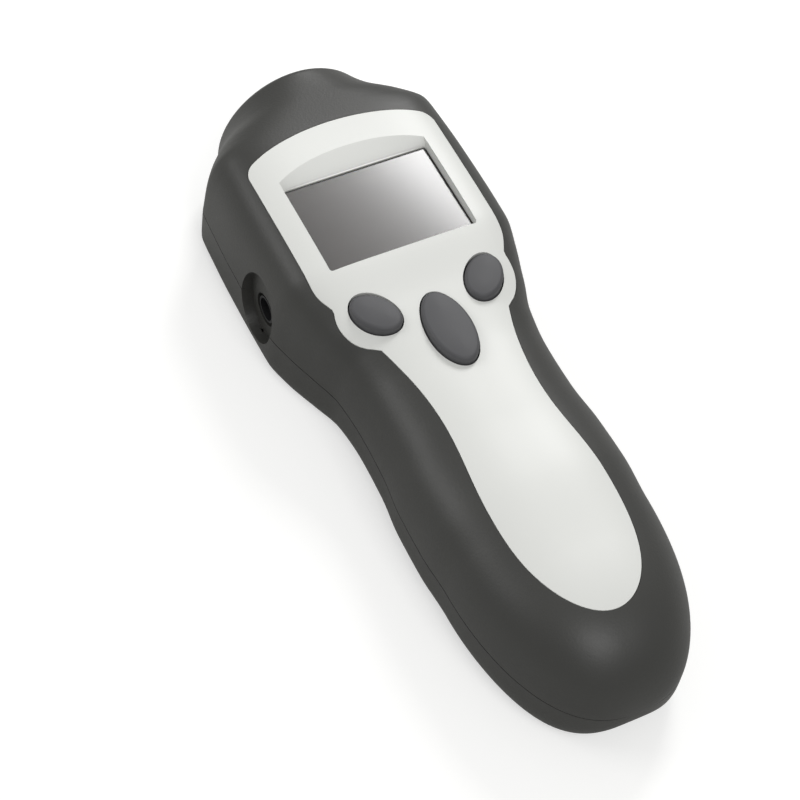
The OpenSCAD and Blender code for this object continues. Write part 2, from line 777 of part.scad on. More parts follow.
header_w = 12;
header_h = 2.5;
header_l = 2.5;
header_pins = 5;
header_pin_w = 0.6;
header_drop = 1;
module board_header() color("#222224") {
    top = board_z - board_t;
    y = sensor_board_y - header_l / 2;
    plate(header_w, header_l, top - header_h - header_drop, top - header_drop, 0, y);
    for (k = [0 : header_pins - 1])
        plate(header_pin_w, header_pin_w, top - header_drop - pin_w, top,
            (k - (header_pins - 1) / 2) * header_h, y);
}

module nose_window() color("#5a1a1c")
    along(0, optic_z, nose_window_y, nose_window_r, nose_window_t);

nub_r = 2.75;

// Cells 0 and 3 have their nub to the nose, and 1 and 2 to the tail
function cell_place(i) = [(i % 2 == 0 ? -1 : 1) * cell_x, i < 2 ? low_cell_z : high_cell_z];
function nub_forward(i) = i == 0 || i == 3;

module battery(i) {
    p = cell_place(i);
    start = bay_y0 + contact_t + (nub_forward(i) ? spring_l : nub_l);
    along(p[0], p[1], start, cell_r, cell_l);
    along(p[0], p[1], nub_forward(i) ? start + cell_l : start - nub_l, nub_r, nub_l);
}

module battery_1() color("#3d4247") battery(0);
module battery_2() color("#3d4247") battery(1);
module battery_3() color("#3d4247") battery(2);
module battery_4() color("#3d4247") battery(3);

spring_wide_r = 4;
spring_narrow_r = 2.6;
spring_wall = 0.7;
module battery_springs() color("#c2c5c7")
    for (i = [0 : 3])
        let (p = cell_place(i), forward = nub_forward(i))
        translate([p[0], forward ? bay_y0 + contact_t : bay_y1 - contact_t, p[1]])
            rotate([forward ? -90 : 90, 0, 0]) rotate_extrude() polygon([
                [spring_wide_r - spring_wall, 0], [spring_wide_r, 0],
                [spring_narrow_r, spring_l], [spring_narrow_r - spring_wall, spring_l]
            ]);

contact_w = 9;
module battery_contacts() color("#c9ccce") {
    layer = high_cell_z - low_cell_z;
    middle_z = (high_cell_z + low_cell_z) / 2;
    for (m = [-1, 1]) {
        plate(contact_w, contact_t, middle_z - (layer + contact_w) / 2,
            middle_z + (layer + contact_w) / 2, m * cell_x, bay_y0 + contact_t / 2);
        plate(contact_w, contact_t, low_cell_z - contact_w / 2, low_cell_z + contact_w / 2,
            m * cell_x, bay_y1 - contact_t / 2);
    }
    plate(2 * cell_x + contact_w, contact_t, high_cell_z - contact_w / 2,
        high_cell_z + contact_w / 2, 0, bay_y1 - contact_t / 2);
}

module tray_form(grow, z0, y0, y1) {
    translate([0, y1, 0]) rotate([90, 0, 0]) linear_extrude(y1 - y0) {
        for (m = [-1, 1])
            translate([m * cell_x, high_cell_z]) circle(r = cell_r + cell_gap + grow);
        translate([-cell_x, z0])
            square([2 * cell_x, high_cell_z + cell_r + cell_gap + grow - z0]);
        translate([-cell_x - cell_r - cell_gap - grow, z0])
            square([2 * (cell_x + cell_r + cell_gap + grow), high_cell_z - z0]);
    }
}

tray_lead_hole_r = 1;
lead_exit_rise = 2.45;
lead_exit_z = low_cell_z + lead_exit_rise;
module battery_tray() color("#2a2a2c") difference() {
    tray_form(tray_wall, door_t + seat_gap, bay_y0 - tray_end, bay_y1 + tray_end);
    tray_form(0, -cut, bay_y0, bay_y1);
    for (m = [-1, 1])
        along(m * cell_x, lead_exit_z, bay_y1 - cut, tray_lead_hole_r, tray_end + 2 * cut);
}

lead_turn_y = 3;
module battery_leads() color("#a02622")
    for (m = [-1, 1]) {
        y = bay_y1 + tray_end + lead_turn_y;
        wire([
            [m * cell_x, bay_y1, lead_exit_z], [m * cell_x, y, lead_exit_z],
            [m * cell_x, y, board_z - board_t]
        ], lead_r);
    }

// Battery door: it swings on two pins at the tail edge and has a finger tongue at the other
door_gap = 0.35;
hinge_z = door_t / 2;
hinge_pin_r = 0.7;
hinge_pin_l = 1.5;
hinge_bore_gap = 0.06;
hinge_clear_r = 1.5;
door_end_y = bay_y1 + tray_end + 0.4;
tongue_w = 9;
tongue_l = 2.4;
tongue_t = 1.1;
rib_h = 0.35;
rib_w = 1;
rib_count = 5;
rib_step = 2.4;
grip_w = 14;

module battery_door() color("#474745") difference() {
    union() {
        plate(door_w, door_end_y - hinge_y, 0, door_t, 0, (door_end_y + hinge_y) / 2);
        translate([-door_w / 2, hinge_y, hinge_z]) rotate([0, 90, 0])
            cylinder(r = door_t / 2, h = door_w);
        translate([-door_w / 2 - hinge_pin_l, hinge_y, hinge_z]) rotate([0, 90, 0])
            cylinder(r = hinge_pin_r, h = door_w + 2 * hinge_pin_l);
        plate(tongue_w, tongue_l, door_t - tongue_t, door_t, 0, door_end_y + tongue_l / 2 - cut);
    }
    // Finger grooves near the tongue
    for (k = [0 : rib_count - 1])
        plate(grip_w, rib_w, -cut, rib_h, 0, door_end_y - rib_step * (k + 1.5));
}

module door_opening() {
    plate(door_w + 2 * door_gap, door_end_y + door_gap - hinge_y, -cut, wall + cut, 0,
        (door_end_y + door_gap + hinge_y) / 2);
    translate([-door_w / 2 - door_gap, hinge_y, hinge_z]) rotate([0, 90, 0])
        cylinder(r = hinge_clear_r, h = door_w + 2 * door_gap);
    translate([-door_w / 2 - door_gap - hinge_pin_l, hinge_y, hinge_z]) rotate([0, 90, 0])
        cylinder(r = hinge_pin_r + hinge_bore_gap, h = door_w + 2 * door_gap + 2 * hinge_pin_l);
    plate(tongue_w + 2 * door_gap, tongue_l + door_gap, -cut, wall + cut, 0,
        door_end_y + (tongue_l + door_gap) / 2 - cut + door_gap / 2);
}

// Front shell: crown, panel seat, display and button openings, bosses and posts
module front_shell() color("#4b4b49") difference() {
    half_case(0, 1);
    // The hollow leaves the posts and the jack's pad standing, cut off by the shell's outside
    difference() {
        half_case(wall, 1, cut);
        for (p = case_screw_places)
            translate([p[0], p[1], part_z]) cylinder(r = screw_post_r, h = head_h);
        for (p = board_posts)
            translate([p[0], p[1], board_z]) cylinder(r = post_r, h = head_h);
        jack_pad(part_z, jack_recess_z + jack_recess_half_h);
    }
    difference() {
        panel_block(seat_gap);
        half_case(panel_t + seat_gap, 1, cut);
    }
    plate(bezel_w + 2 * seat_gap, well_l + 2 * seat_gap, lip_z - 2 * wall, head_h + cut, 0, well_y);
    button_holes(part_z);
    flange_pockets();
    for (p = case_screw_places)
        translate([p[0], p[1], part_z - cut])
            cylinder(r = case_screw_r + seat_gap / 2, h = case_screw_l + case_screw_z - part_z + 2 * cut);
    for (p = board_posts)
        translate([p[0], p[1], board_z - cut])
            cylinder(r = post_hole_r + seat_gap / 2, h = board_screw_l);
    jack_recess();
    jack_hole();
    along(0, optic_z, half_l - 2 * wall, nose_bore_r, 3 * wall);
}

saddle_t = 2;
saddle_w = 20;
saddle_inset = 3;

// Rear shell: belly, screw posts, saddles for the optics, and the battery opening
module rear_shell() color("#424240") difference() {
    half_case(0, -1);
    // The hollow leaves the posts, the saddles and the jack's pad standing
    difference() {
        half_case(wall, -1, cut);
        for (p = case_screw_places)
            translate([p[0], p[1], 0]) cylinder(r = rear_post_r, h = part_z);
        for (y = [block_y0 + saddle_inset, block_front_y - block_flange_t - saddle_inset])
            plate(saddle_w, saddle_t, 0, optic_z - block_h / 2, 0, y);
        jack_pad(jack_recess_z - jack_recess_half_h, part_z);
    }
    for (p = case_screw_places)
        translate([p[0], p[1], -cut]) {
            cylinder(r = screw_bore_r, h = case_screw_z + cut);
            cylinder(r = case_screw_r + seat_gap, h = part_z + 2 * cut);
        }
    door_opening();
    jack_recess();
    jack_hole();
    along(0, optic_z, half_l - 2 * wall, nose_bore_r, 3 * wall);
}

front_shell();
rear_shell();
face_panel();
display_window();
window_gasket();
lcd_module();
lcd_frame();
zebra_strips();
circuit_board();
controller_chip();
crystal_can();
capacitors();
tact_switches();
mem_button();
mode_button();
meas_button();
mem_plunger();
mode_plunger();
meas_plunger();
board_screws();
case_screws();
optics_block();
laser_module();
laser_lens();
receiver_lens();
photo_sensor();
sensor_board();
board_header();
nose_window();
dc_jack();
jack_pin();
jack_leads();
battery_tray();
battery_1();
battery_2();
battery_3();
battery_4();
battery_springs();
battery_contacts();
battery_leads();
battery_door();
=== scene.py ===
from math import acos, atan2, cos, exp, hypot, log1p, pi, radians, sin, sqrt

import bmesh
import bpy
from mathutils import Matrix, Vector


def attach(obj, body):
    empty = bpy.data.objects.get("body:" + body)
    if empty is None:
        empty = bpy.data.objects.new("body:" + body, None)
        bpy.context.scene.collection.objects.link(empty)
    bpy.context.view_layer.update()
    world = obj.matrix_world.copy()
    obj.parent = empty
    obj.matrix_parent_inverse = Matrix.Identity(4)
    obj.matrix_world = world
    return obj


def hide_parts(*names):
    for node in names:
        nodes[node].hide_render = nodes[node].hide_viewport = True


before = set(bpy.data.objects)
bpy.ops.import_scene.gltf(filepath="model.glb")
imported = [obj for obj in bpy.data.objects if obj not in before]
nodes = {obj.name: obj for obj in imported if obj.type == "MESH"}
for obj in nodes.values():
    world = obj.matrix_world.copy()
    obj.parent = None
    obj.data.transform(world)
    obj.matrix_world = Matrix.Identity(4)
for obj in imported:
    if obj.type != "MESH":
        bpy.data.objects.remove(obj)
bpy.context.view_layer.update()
mm = 0.001  # the mesh code below works in millimetres
print("frame loaded:", len(nodes), "nodes")


# Materials: hex colours are sRGB and are turned linear here, nowhere else
def linearColour(hexCode):
    channels = [int(hexCode[i : i + 2], 16) / 255 for i in (1, 3, 5)]
    return [c / 12.92 if c < 0.04045 else ((c + 0.055) / 1.055) ** 2.4 for c in channels] + [1.0]


# Links the sockets among a node's new inputs, and sets the plain values
def feed(tree, node, inputs):
    for key, value in inputs.items():
        if isinstance(value, bpy.types.NodeSocket):
            tree.links.new(value, node.inputs[key])
        else:
            node.inputs[key].default_value = value


def addNode(tree, kind, inputs=None, **settings):
    node = tree.nodes.new(kind)
    for key, value in settings.items():
        setattr(node, key, value)
    feed(tree, node, inputs or {})
    return node


def newMaterial(name):
    material = bpy.data.materials.new(name)
    material.use_nodes = True
    tree = material.node_tree
    tree.nodes.clear()
    shader = addNode(tree, "ShaderNodeBsdfPrincipled")
    addNode(tree, "ShaderNodeOutputMaterial", {"Surface": shader.outputs["BSDF"]})
    place = addNode(tree, "ShaderNodeTexCoord").outputs["Object"]
    return material, tree, shader, place


# Noise whose features have a real size in mm
def noise(tree, place, sizeMm, detail=2.0):
    inputs = {"Vector": place, "Scale": 1 / (sizeMm * mm), "Detail": detail}
    return addNode(tree, "ShaderNodeTexNoise", inputs).outputs["Fac"]


# The mix node's colours are its inputs 6 and 7 and its output 2
def twoTones(tree, factor, tones):
    inputs = {"Factor": factor, 6: linearColour(tones[0]), 7: linearColour(tones[1])}
    return addNode(tree, "ShaderNodeMix", inputs, data_type="RGBA").outputs[2]


def unevenGloss(tree, factor, roughness):
    inputs = {"Value": factor, "To Min": roughness[0], "To Max": roughness[1]}
    return addNode(tree, "ShaderNodeMapRange", inputs).outputs["Result"]


# A moulded plastic: two tones in large soft patches, and spark-eroded grain of a real size in mm
def mouldedPlastic(name, look):
    material, tree, shader, place = newMaterial(name)
    patches = noise(tree, place, look["patchMm"], 3.0)
    grain = noise(tree, place, look["grainMm"])
    pits = addNode(tree, "ShaderNodeTexVoronoi", {"Vector": place, "Scale": 1 / (look["pitMm"] * mm)})
    pitted = {0: pits.outputs["Distance"], 1: 0.5, 2: grain}
    height = addNode(tree, "ShaderNodeMath", pitted, operation="MULTIPLY_ADD").outputs[0]
    relief = {"Height": height, "Strength": look["strength"], "Distance": look["depthMm"] * mm}
    shading = {
        "Base Color": twoTones(tree, patches, look["tones"]),
        "Roughness": unevenGloss(tree, grain, look["roughness"]),
        "Normal": addNode(tree, "ShaderNodeBump", relief).outputs["Normal"],
        "IOR": look["ior"],
    }
    feed(tree, shader, shading)
    return material


# A metal: fine streaks from rolling or drawing, and a slightly uneven gloss
def workedMetal(name, look):
    material, tree, shader, place = newMaterial(name)
    stretched = addNode(tree, "ShaderNodeMapping", {"Vector": place, "Scale": look["streak"]})
    streaks = noise(tree, stretched.outputs["Vector"], look["streakMm"])
    shading = {
        "Base Color": twoTones(tree, streaks, look["tones"]),
        "Roughness": unevenGloss(tree, streaks, look["roughness"]),
        "Metallic": 1.0,
    }
    feed(tree, shader, shading)
    return material


# A glossy acrylic with a faint cloud in its colour, and its own values for the shader
def tintedAcrylic(name, look):
    material, tree, shader, place = newMaterial(name)
    cloud = noise(tree, place, look["cloudMm"])
    feed(tree, shader, {"Base Color": twoTones(tree, cloud, look["tones"]), "IOR": 1.49, **look["shader"]})
    return material


# Moulded ABS, dark grey, spark-eroded tool: dull, with a soft speckled highlight on its ridges
darkLook = {
    "tones": ("#373735", "#3d3d3a"), "patchMm": 30, "roughness": (0.38, 0.5), "ior": 1.5,
    "grainMm": 0.5, "pitMm": 0.8, "strength": 0.4, "depthMm": 0.06,
}
absDark = mouldedPlastic("moulded_abs_dark", darkLook)
# Painted shade: the same ABS in the lower shell and the door, a shade darker, for the lower half that takes
# less light
absDarkPaintedShade = mouldedPlastic("moulded_abs_dark_rear_painted_shade", {**darkLook, "tones": ("#363633", "#3c3c39")})
# Satin ABS, off-white, from a lightly blasted tool: nearly smooth and barely glossy
absLight = mouldedPlastic("moulded_abs_light", {
    "tones": ("#dfe0dc", "#e4e5e1"), "patchMm": 45, "roughness": (0.38, 0.46), "ior": 1.5,
    "grainMm": 0.45, "pitMm": 0.9, "strength": 0.12, "depthMm": 0.03,
})
# Soft-touch lacquered ABS: even, matt and a little lighter than the case
softTouch = mouldedPlastic("soft_touch_abs", {
    "tones": ("#4c4c4e", "#515153"), "patchMm": 12, "roughness": (0.5, 0.6), "ior": 1.47,
    "grainMm": 0.35, "pitMm": 0.7, "strength": 0.14, "depthMm": 0.03,
})
# Black glass-filled nylon, as moulded: a faint sheen
nylonBlack = mouldedPlastic("nylon_black", {
    "tones": ("#1b1b1d", "#232325"), "patchMm": 8, "roughness": (0.4, 0.55), "ior": 1.53,
    "grainMm": 0.4, "pitMm": 0.7, "strength": 0.25, "depthMm": 0.04,
})
# Painted shade: black ink over the window's rim and edges, standing for the shadowed gap round the window;
# black and even
paintedGapShade = mouldedPlastic("painted_gap_shade_black", {
    "tones": ("#1c1b1b", "#242322"), "patchMm": 6, "roughness": (0.25, 0.35), "ior": 1.49,
    "grainMm": 0.4, "pitMm": 0.8, "strength": 0.05, "depthMm": 0.01,
})
# Closed-cell foam: black, with open pores and no gloss
foamBlack = mouldedPlastic("foam_black", {
    "tones": ("#161616", "#202020"), "patchMm": 3, "roughness": (0.85, 0.95), "ior": 1.45,
    "grainMm": 0.3, "pitMm": 0.5, "strength": 0.6, "depthMm": 0.1,
})
# White acetal, which looks slightly translucent
acetalWhite = mouldedPlastic("acetal_white", {
    "tones": ("#e9e8e1", "#f1f0ea"), "patchMm": 10, "roughness": (0.35, 0.45), "ior": 1.48,
    "grainMm": 0.5, "pitMm": 1.0, "strength": 0.08, "depthMm": 0.03,
})
# Conductive silicone in thin layers
siliconePink = mouldedPlastic("silicone_pink", {
    "tones": ("#b07a70", "#c98f86"), "patchMm": 2, "roughness": (0.6, 0.7), "ior": 1.43,
    "grainMm": 0.3, "pitMm": 0.5, "strength": 0.2, "depthMm": 0.03,
})
# Solder mask over glass-fibre laminate: glossy green with the weave just showing
solderMask = mouldedPlastic("solder_mask", {
    "tones": ("#1f5a30", "#2f6b3c"), "patchMm": 4, "roughness": (0.22, 0.34), "ior": 1.52,
    "grainMm": 0.6, "pitMm": 1.0, "strength": 0.12, "depthMm": 0.02,
})
# Shrink-sleeve film over a cell: smooth and dark, with a low gloss
cellFilm = mouldedPlastic("cell_film", {
    "tones": ("#33383d", "#3d4247"), "patchMm": 15, "roughness": (0.18, 0.28), "ior": 1.5,
    "grainMm": 0.8, "pitMm": 2.0, "strength": 0.05, "depthMm": 0.02,
})
# PVC wire jackets
wireJacket = mouldedPlastic("pvc_red", {
    "tones": ("#8e1f1b", "#a02622"), "patchMm": 5, "roughness": (0.3, 0.4), "ior": 1.53,
    "grainMm": 0.4, "pitMm": 0.8, "strength": 0.08, "depthMm": 0.02,
})
# PVC sleeves of the small capacitors: slate blue and glossy
sleeveBlue = mouldedPlastic("pvc_sleeve_blue", {
    "tones": ("#343950", "#3f4562"), "patchMm": 6, "roughness": (0.25, 0.35), "ior": 1.53,
    "grainMm": 0.5, "pitMm": 1.0, "strength": 0.06, "depthMm": 0.02,
})
# Epoxy moulding compound of the chip: black and slightly sparkling
epoxyBlack = mouldedPlastic("epoxy_compound", {
    "tones": ("#1f1f22", "#29292c"), "patchMm": 3, "roughness": (0.5, 0.62), "ior": 1.55,
    "grainMm": 0.25, "pitMm": 0.4, "strength": 0.3, "depthMm": 0.02,
})
# Display glass with its grey-green polariser
displayGlass = mouldedPlastic("polariser_glass", {
    "tones": ("#8f9585", "#9aa08f"), "patchMm": 20, "roughness": (0.12, 0.2), "ior": 1.5,
    "grainMm": 1.0, "pitMm": 2.0, "strength": 0.02, "depthMm": 0.01,
})
# Tinned or nickel-plated steel: bright, with fine rolling streaks
tinnedSteel = workedMetal("tinned_steel", {
    "tones": ("#b9bcc0", "#cfd2d5"), "streakMm": 0.8, "streak": (1, 0.15, 1), "roughness": (0.22, 0.36),
})
# Zinc-plated steel screws: a duller grey than the tinned steel
zincSteel = workedMetal("zinc_plated_steel", {
    "tones": ("#8a8d92", "#a3a6aa"), "streakMm": 0.6, "streak": (1, 1, 0.3), "roughness": (0.3, 0.45),
})
# Turned brass: fine rings round the axis, warm yellow
turnedBrass = workedMetal("turned_brass", {
    "tones": ("#b18a3c", "#c9a95c"), "streakMm": 0.5, "streak": (0.2, 3, 0.2), "roughness": (0.2, 0.32),
})
# Clear acrylic over a blank display, whose grey is its body colour
acrylicWindow = tintedAcrylic("acrylic_window", {
    "tones": ("#454240", "#494644"),
    "cloudMm": 14,
    "shader": {"Roughness": 0.17, "Coat Weight": 1.0, "Coat Roughness": 0.11},
})
# Dark red filter acrylic in the nose: nearly black, polished, and a little clear
filterWindow = tintedAcrylic("filter_acrylic", {
    "tones": ("#3a0a0c", "#240608"),
    "cloudMm": 6,
    "shader": {"Roughness": 0.06, "Coat Weight": 0.5, "Alpha": 0.8},
})
# Polished optical acrylic
clearLook = {"Roughness": 0.02, "IOR": 1.49, "Transmission Weight": 0.85}
lensAcrylic, lensTree, lensShader = newMaterial("optical_acrylic")[:3]
feed(lensTree, lensShader, {"Base Color": linearColour("#e4eef2"), **clearLook})
print("materials made:", len(bpy.data.materials))


# The case follows curves given as shares of its length, from 0 at the tail to 1 at the nose
case = {
    "length": 190.0,
    "width": 68.2,
    "height": 39.4,
    "partingZ": 14.7,
    "wall": 2.2,
    "noseRound": 1.8,
    "bellyExtra": 0.5,
    "leastFlat": 0.6,
    "groove": 0.9,
    "grooveLip": 0.2,
    "grooveMost": 0.4,
    "grooveEnd": 0.004,
    "planTail": (0.237, 2, 0.4),
    "crownTail": (0.184, 3, 0.6),
    "bellyTail": (0.132, 4, 0.5),
    "planShares": [
        (0, 0.795), (0.237, 0.795), (0.3, 0.815), (0.363, 0.808), (0.426, 0.771), (0.489, 0.76),
        (0.547, 0.78), (0.595, 0.861), (0.642, 0.947), (0.684, 0.997), (0.742, 1), (0.805, 0.996),
        (0.862, 0.983), (0.903, 0.968), (0.92, 0.906), (0.937, 0.821), (0.955, 0.739), (0.974, 0.669),
        (1, 0.598),
    ],
    "crownShares": [
        (0, 0.85), (0.18, 0.855), (0.289, 0.885), (0.395, 0.84), (0.5, 0.83), (0.595, 0.885),
        (0.679, 0.99), (0.75, 1), (0.837, 1), (1, 0.911),
    ],
    "roundShares": [
        (0, 0.93), (0.1, 0.82), (0.289, 0.75), (0.395, 0.75), (0.5, 0.68), (0.55, 0.58),
        (0.59, 0.46), (0.68, 0.38), (0.885, 0.38), (0.93, 0.55), (0.96, 0.8), (1, 1),
    ],
    "bellyRoundShares": [(0, 0.45), (0.5, 0.42), (0.66, 0.25), (0.9, 0.25), (1, 0.5)],
    "leanShares": [(0, 0), (0.53, 0), (0.66, 0.07), (0.88, 0.07), (0.96, 0), (1, 0)],
    "flareShare": 0.855,
    "firstRing": 0.6,
    "tailRings": 40,
    "bodyRings": 70,
    "flareRings": 44,
    "noseRings": 8,
    "ringPoints": 72,
}
halfLength = case["length"] / 2
halfWidth = case["width"] / 2
partingZ = case["partingZ"]
crownHeight = case["height"] - partingZ
# Cutters run from below the case to above it, past its faces by clear, and past each other by lap
below, above, clear, lap = -1.0, 45.0, 2.0, 1.0
sliver = 0.01
thin = 0.05  # the least half size that is divided by


# Several values of a dictionary at once
def pick(table, *keys):
    return [table[key] for key in keys]


# Smooth curve through a table of points, which never overshoots them
def curveAt(table, x):
    i = 0
    while i < len(table) - 2 and x >= table[i + 1][0]:
        i += 1

    def slope(k):
        return (table[k + 1][1] - table[k][1]) / (table[k + 1][0] - table[k][0])

    def tangent(k):
        if k == 0:
            return slope(0)
        if k == len(table) - 1:
            return slope(k - 1)
        product = slope(k - 1) * slope(k)
        return 0 if product <= 0 else 2 * product / (slope(k - 1) + slope(k))

    w = table[i + 1][0] - table[i][0]
    u = (x - table[i][0]) / w
    v = 1 - u
    ends = table[i][1] * v * v * (1 + 2 * u) + table[i + 1][1] * u * u * (3 - 2 * u)
    return ends + w * u * v * (tangent(i) * v - tangent(i + 1) * u)


# How far the rounding of the tail leaves a size, from 0 at the end to 1 where the rounding starts
def tailShare(s, shape):
    start, power, root = shape
    return 1 if s >= start else max(0.0, 1 - ((start - s) / start) ** power) ** root


# How much the small round at the nose's edge takes from each half size
def noseDraw(s):
    u = max(0.0, 1 - (1 - s) * case["length"] / case["noseRound"])
    return case["noseRound"] * (1 - sqrt(max(0.0, 1 - u * u)))


def planHalf(s, inset=0.0):
    share = curveAt(case["planShares"], s)
    return tailShare(s, case["planTail"]) * (halfWidth * share - inset) - noseDraw(s)


def crownAt(s, inset):
    share = curveAt(case["crownShares"], s)
    return tailShare(s, case["crownTail"]) * (crownHeight * share - inset) - noseDraw(s)


def bellyAt(s, inset):
    return tailShare(s, case["bellyTail"]) * (partingZ + case["bellyExtra"] - inset) - noseDraw(s)


# Half width, height, roundness and lean of one section: side 1 is the crown and -1 the belly
def sectionAt(s, side, inset=0.0):
    if side > 0:
        roundness, lean = curveAt(case["roundShares"], s), curveAt(case["leanShares"], s)
        return planHalf(s, inset), crownAt(s, inset), roundness, lean
    return planHalf(s, inset), bellyAt(s, inset), curveAt(case["bellyRoundShares"], s), 0.0


def shareAt(y):
    return min(1.0, max(0.0, (y / halfLength + 1) / 2))


# 1 on the case's skin, less inside it and more outside
def skinLevel(x, y, z, side):
    w, h, e, lean = sectionAt(shareAt(y), side)
    lift = max(0.0, side * (z - partingZ)) / max(thin, h)
    reach = max(thin, w) * (1 - lean * min(1.0, lift))
    return (abs(x) / reach) ** (2 / e) + lift ** (2 / e)


# The outward direction of the case's skin at a point on or near it
def skinNormal(point, side):
    x, y, z = point
    step = 0.02
    y = min(halfLength - 2 * step, max(step * 2 - halfLength, y))

    def change(dx, dy, dz):
        return skinLevel(x + dx, y + dy, z + dz, side) - skinLevel(x - dx, y - dy, z - dz, side)

    gradient = Vector((change(step, 0, 0), change(0, step, 0), change(0, 0, step)))
    return gradient.normalized() if gradient.length > 1e-9 else Vector((0, 0, side))


# Whether a point lies on the rounded skin, and not on a cut or on the flat back
def onSkin(point, side):
    x, y, z = point
    w, h, e = sectionAt(shareAt(y), side)[:3]
    smallest, near, lift = 0.5, 0.02, 0.005
    if min(w, h) <= smallest:
        return True
    return abs(skinLevel(x, y, z, side) ** (e / 2) - 1) < near and (side > 0 or z > lift)


def newObject(name, data):
    made = bpy.data.objects.new(name, data)
    bpy.context.scene.collection.objects.link(made)
    return made


def meshObject(name, bm):
    mesh = bpy.data.meshes.new(name)
    bm.to_mesh(mesh)
    bm.free()
    return newObject(name, mesh)


# A closed piece between rings of (x, y, z) in mm, where a ring of one point closes an end
def loft(name, rings):
    bm = bmesh.new()
    made = [[bm.verts.new(Vector(p) * mm) for p in ring] for ring in rings]
    for low, high in zip(made, made[1:]):
        n, m = len(low), len(high)
        for k in range(max(n, m)):
            corners = (low[k % n], low[(k + 1) % n], high[(k + 1) % m], high[k % m])
            bm.faces.new(list(dict.fromkeys(corners)))
    for ring in (made[0], made[-1]):
        if len(ring) > 1:
            bm.faces.new(ring)
    bmesh.ops.recalc_face_normals(bm, faces=bm.faces)
    return meshObject(name, bm)


# Places of the rings along the case: close at the tail, the flare and the nose's edge
def ringShares(coarse):
    start, draw = case["planTail"][0], case["noseRound"] / case["length"]
    flare, first, last = pick(case, "flareShare", "firstRing", "noseRings")
    tail, middle, front = (count // coarse for count in pick(case, "tailRings", "bodyRings", "flareRings"))
    shares = [start * (1 - cos(radians(first + k * (90 - first) / tail))) for k in range(tail)]
    shares += [start + k * (flare - start) / middle for k in range(middle)]
    shares += [flare + k * (1 - draw - flare) / front for k in range(front)]
    shares += [1 - draw * (1 - sin(pi / 2 * k / last)) for k in range(last + 1)]
    return shares


# Angles round half a section. The belly's rings have a point just where they meet the flat back
def ringAngles(count, side, inset, h, e):
    if side > 0:
        return [pi * k / count for k in range(count + 1)]
    drawn = min(1.0, (partingZ - inset) / max(thin, h))
    flat = max(case["leastFlat"], max(0.0, 1 - drawn ** (2 / e)) ** (e / 2))
    meet = atan2(drawn, flat)
    bend = count * 3 // 8
    across = count - 2 * bend
    rise = [meet * k / bend for k in range(bend + 1)]
    over = [meet + (pi - 2 * meet) * k / across for k in range(1, across)]
    return rise + over + [pi - a for a in reversed(rise)]


# Breaks a ring's edge at the parting line, for a fine dark line between the shells
def breakEdge(ring, s, y, w, side):
    end = case["grooveEnd"]
    g = min(case["groove"], case["grooveMost"] * w) * min(1.0, s / end, (1 - s) / end)
    step = 0.001
    rise = planHalf(min(1, s + step)) - planHalf(max(0, s - step))
    ahead = 2 * step * case["length"]
    run = hypot(rise, ahead)
    x, y1 = w - g * ahead / run, y + g * rise / run
    lip = partingZ + side * max(case["grooveLip"] * g, sliver)
    ring[0] = (x, y1, partingZ)
    ring[-1] = (-x, y1, partingZ)
    ring.insert(1, (w, y, lip))
    ring.insert(-1, (-w, y, lip))


# Half of the case as a closed solid, sunk by inset, and run past the parting line by drop
def halfCase(name, side, inset=0.0, drop=0.0, coarse=1, grooved=False):
    rings = []
    for s in ringShares(coarse):
        y = (2 * s - 1) * (halfLength - inset)
        w, h, e, lean = sectionAt(s, side, inset)
        ring = []
        for a in ringAngles(case["ringPoints"] // coarse, side, inset, h, e):
            c, d = cos(a), max(0.0, sin(a))
            reach = (abs(c) ** (2 / e) + d ** (2 / e)) ** (-e / 2)
            z = partingZ + side * h * reach * d
            ring.append((w * reach * c * (1 - lean * reach * d), y, z if side > 0 else max(inset, z)))
        if grooved:
            breakEdge(ring, s, y, w, side)
        if drop:
            ring.append((-w, y, partingZ - side * drop))
            ring.append((w, y, partingZ - side * drop))
        rings.append(ring)
    return loft(name, rings)


# A straight-sided solid from an outline in mm, between two distances along an axis
def extrudeOutline(name, outline, low, high, axis="Z", topOutline=None):
    i = "XYZ".index(axis)
    ends = ((outline, low), (topOutline or outline, high))
    return loft(name, [[p[:i] + (h,) + p[i:] for p in points] for points, h in ends])


def boxOutline(width, length, x=0.0, y=0.0, corner=0.0, steps=6):
    if not corner:
        return [(x + i * width / 2, y + j * length / 2) for i, j in ((1, -1), (1, 1), (-1, 1), (-1, -1))]
    points = []
    for quarter, (i, j) in enumerate(((1, 1), (-1, 1), (-1, -1), (1, -1))):
        u, v = x + i * (width / 2 - corner), y + j * (length / 2 - corner)
        for k in range(steps + 1):
            a = pi / 2 * (quarter + k / steps)
            points.append((u + corner * cos(a), v + corner * sin(a)))
    return points


def ovalOutline(halfLong, halfShort, x=0.0, y=0.0, turn=0.0, steps=72):
    c, s = cos(turn), sin(turn)
    points = []
    for k in range(steps):
        a = 2 * pi * k / steps
        u, v = halfLong * cos(a), halfShort * sin(a)
        points.append((x + u * c - v * s, y + u * s + v * c))
    return points


def block(name, x0, x1, y0, y1, z0, z1):
    return extrudeOutline(name, boxOutline(x1 - x0, y1 - y0, (x0 + x1) / 2, (y0 + y1) / 2), z0, z1)


def rodAlongX(name, radius, x0, x1, y, z, steps=40):
    return extrudeOutline(name, ovalOutline(radius, radius, y, z, steps=steps), x0, x1, "X")


# Turns a piece and its modifiers into a plain mesh
def applyModifiers(piece):
    made = bpy.data.meshes.new_from_object(piece.evaluated_get(bpy.context.evaluated_depsgraph_get()))
    piece.modifiers.clear()
    old = piece.data
    piece.data = made
    made.name = piece.name
    bpy.data.meshes.remove(old)
    return piece


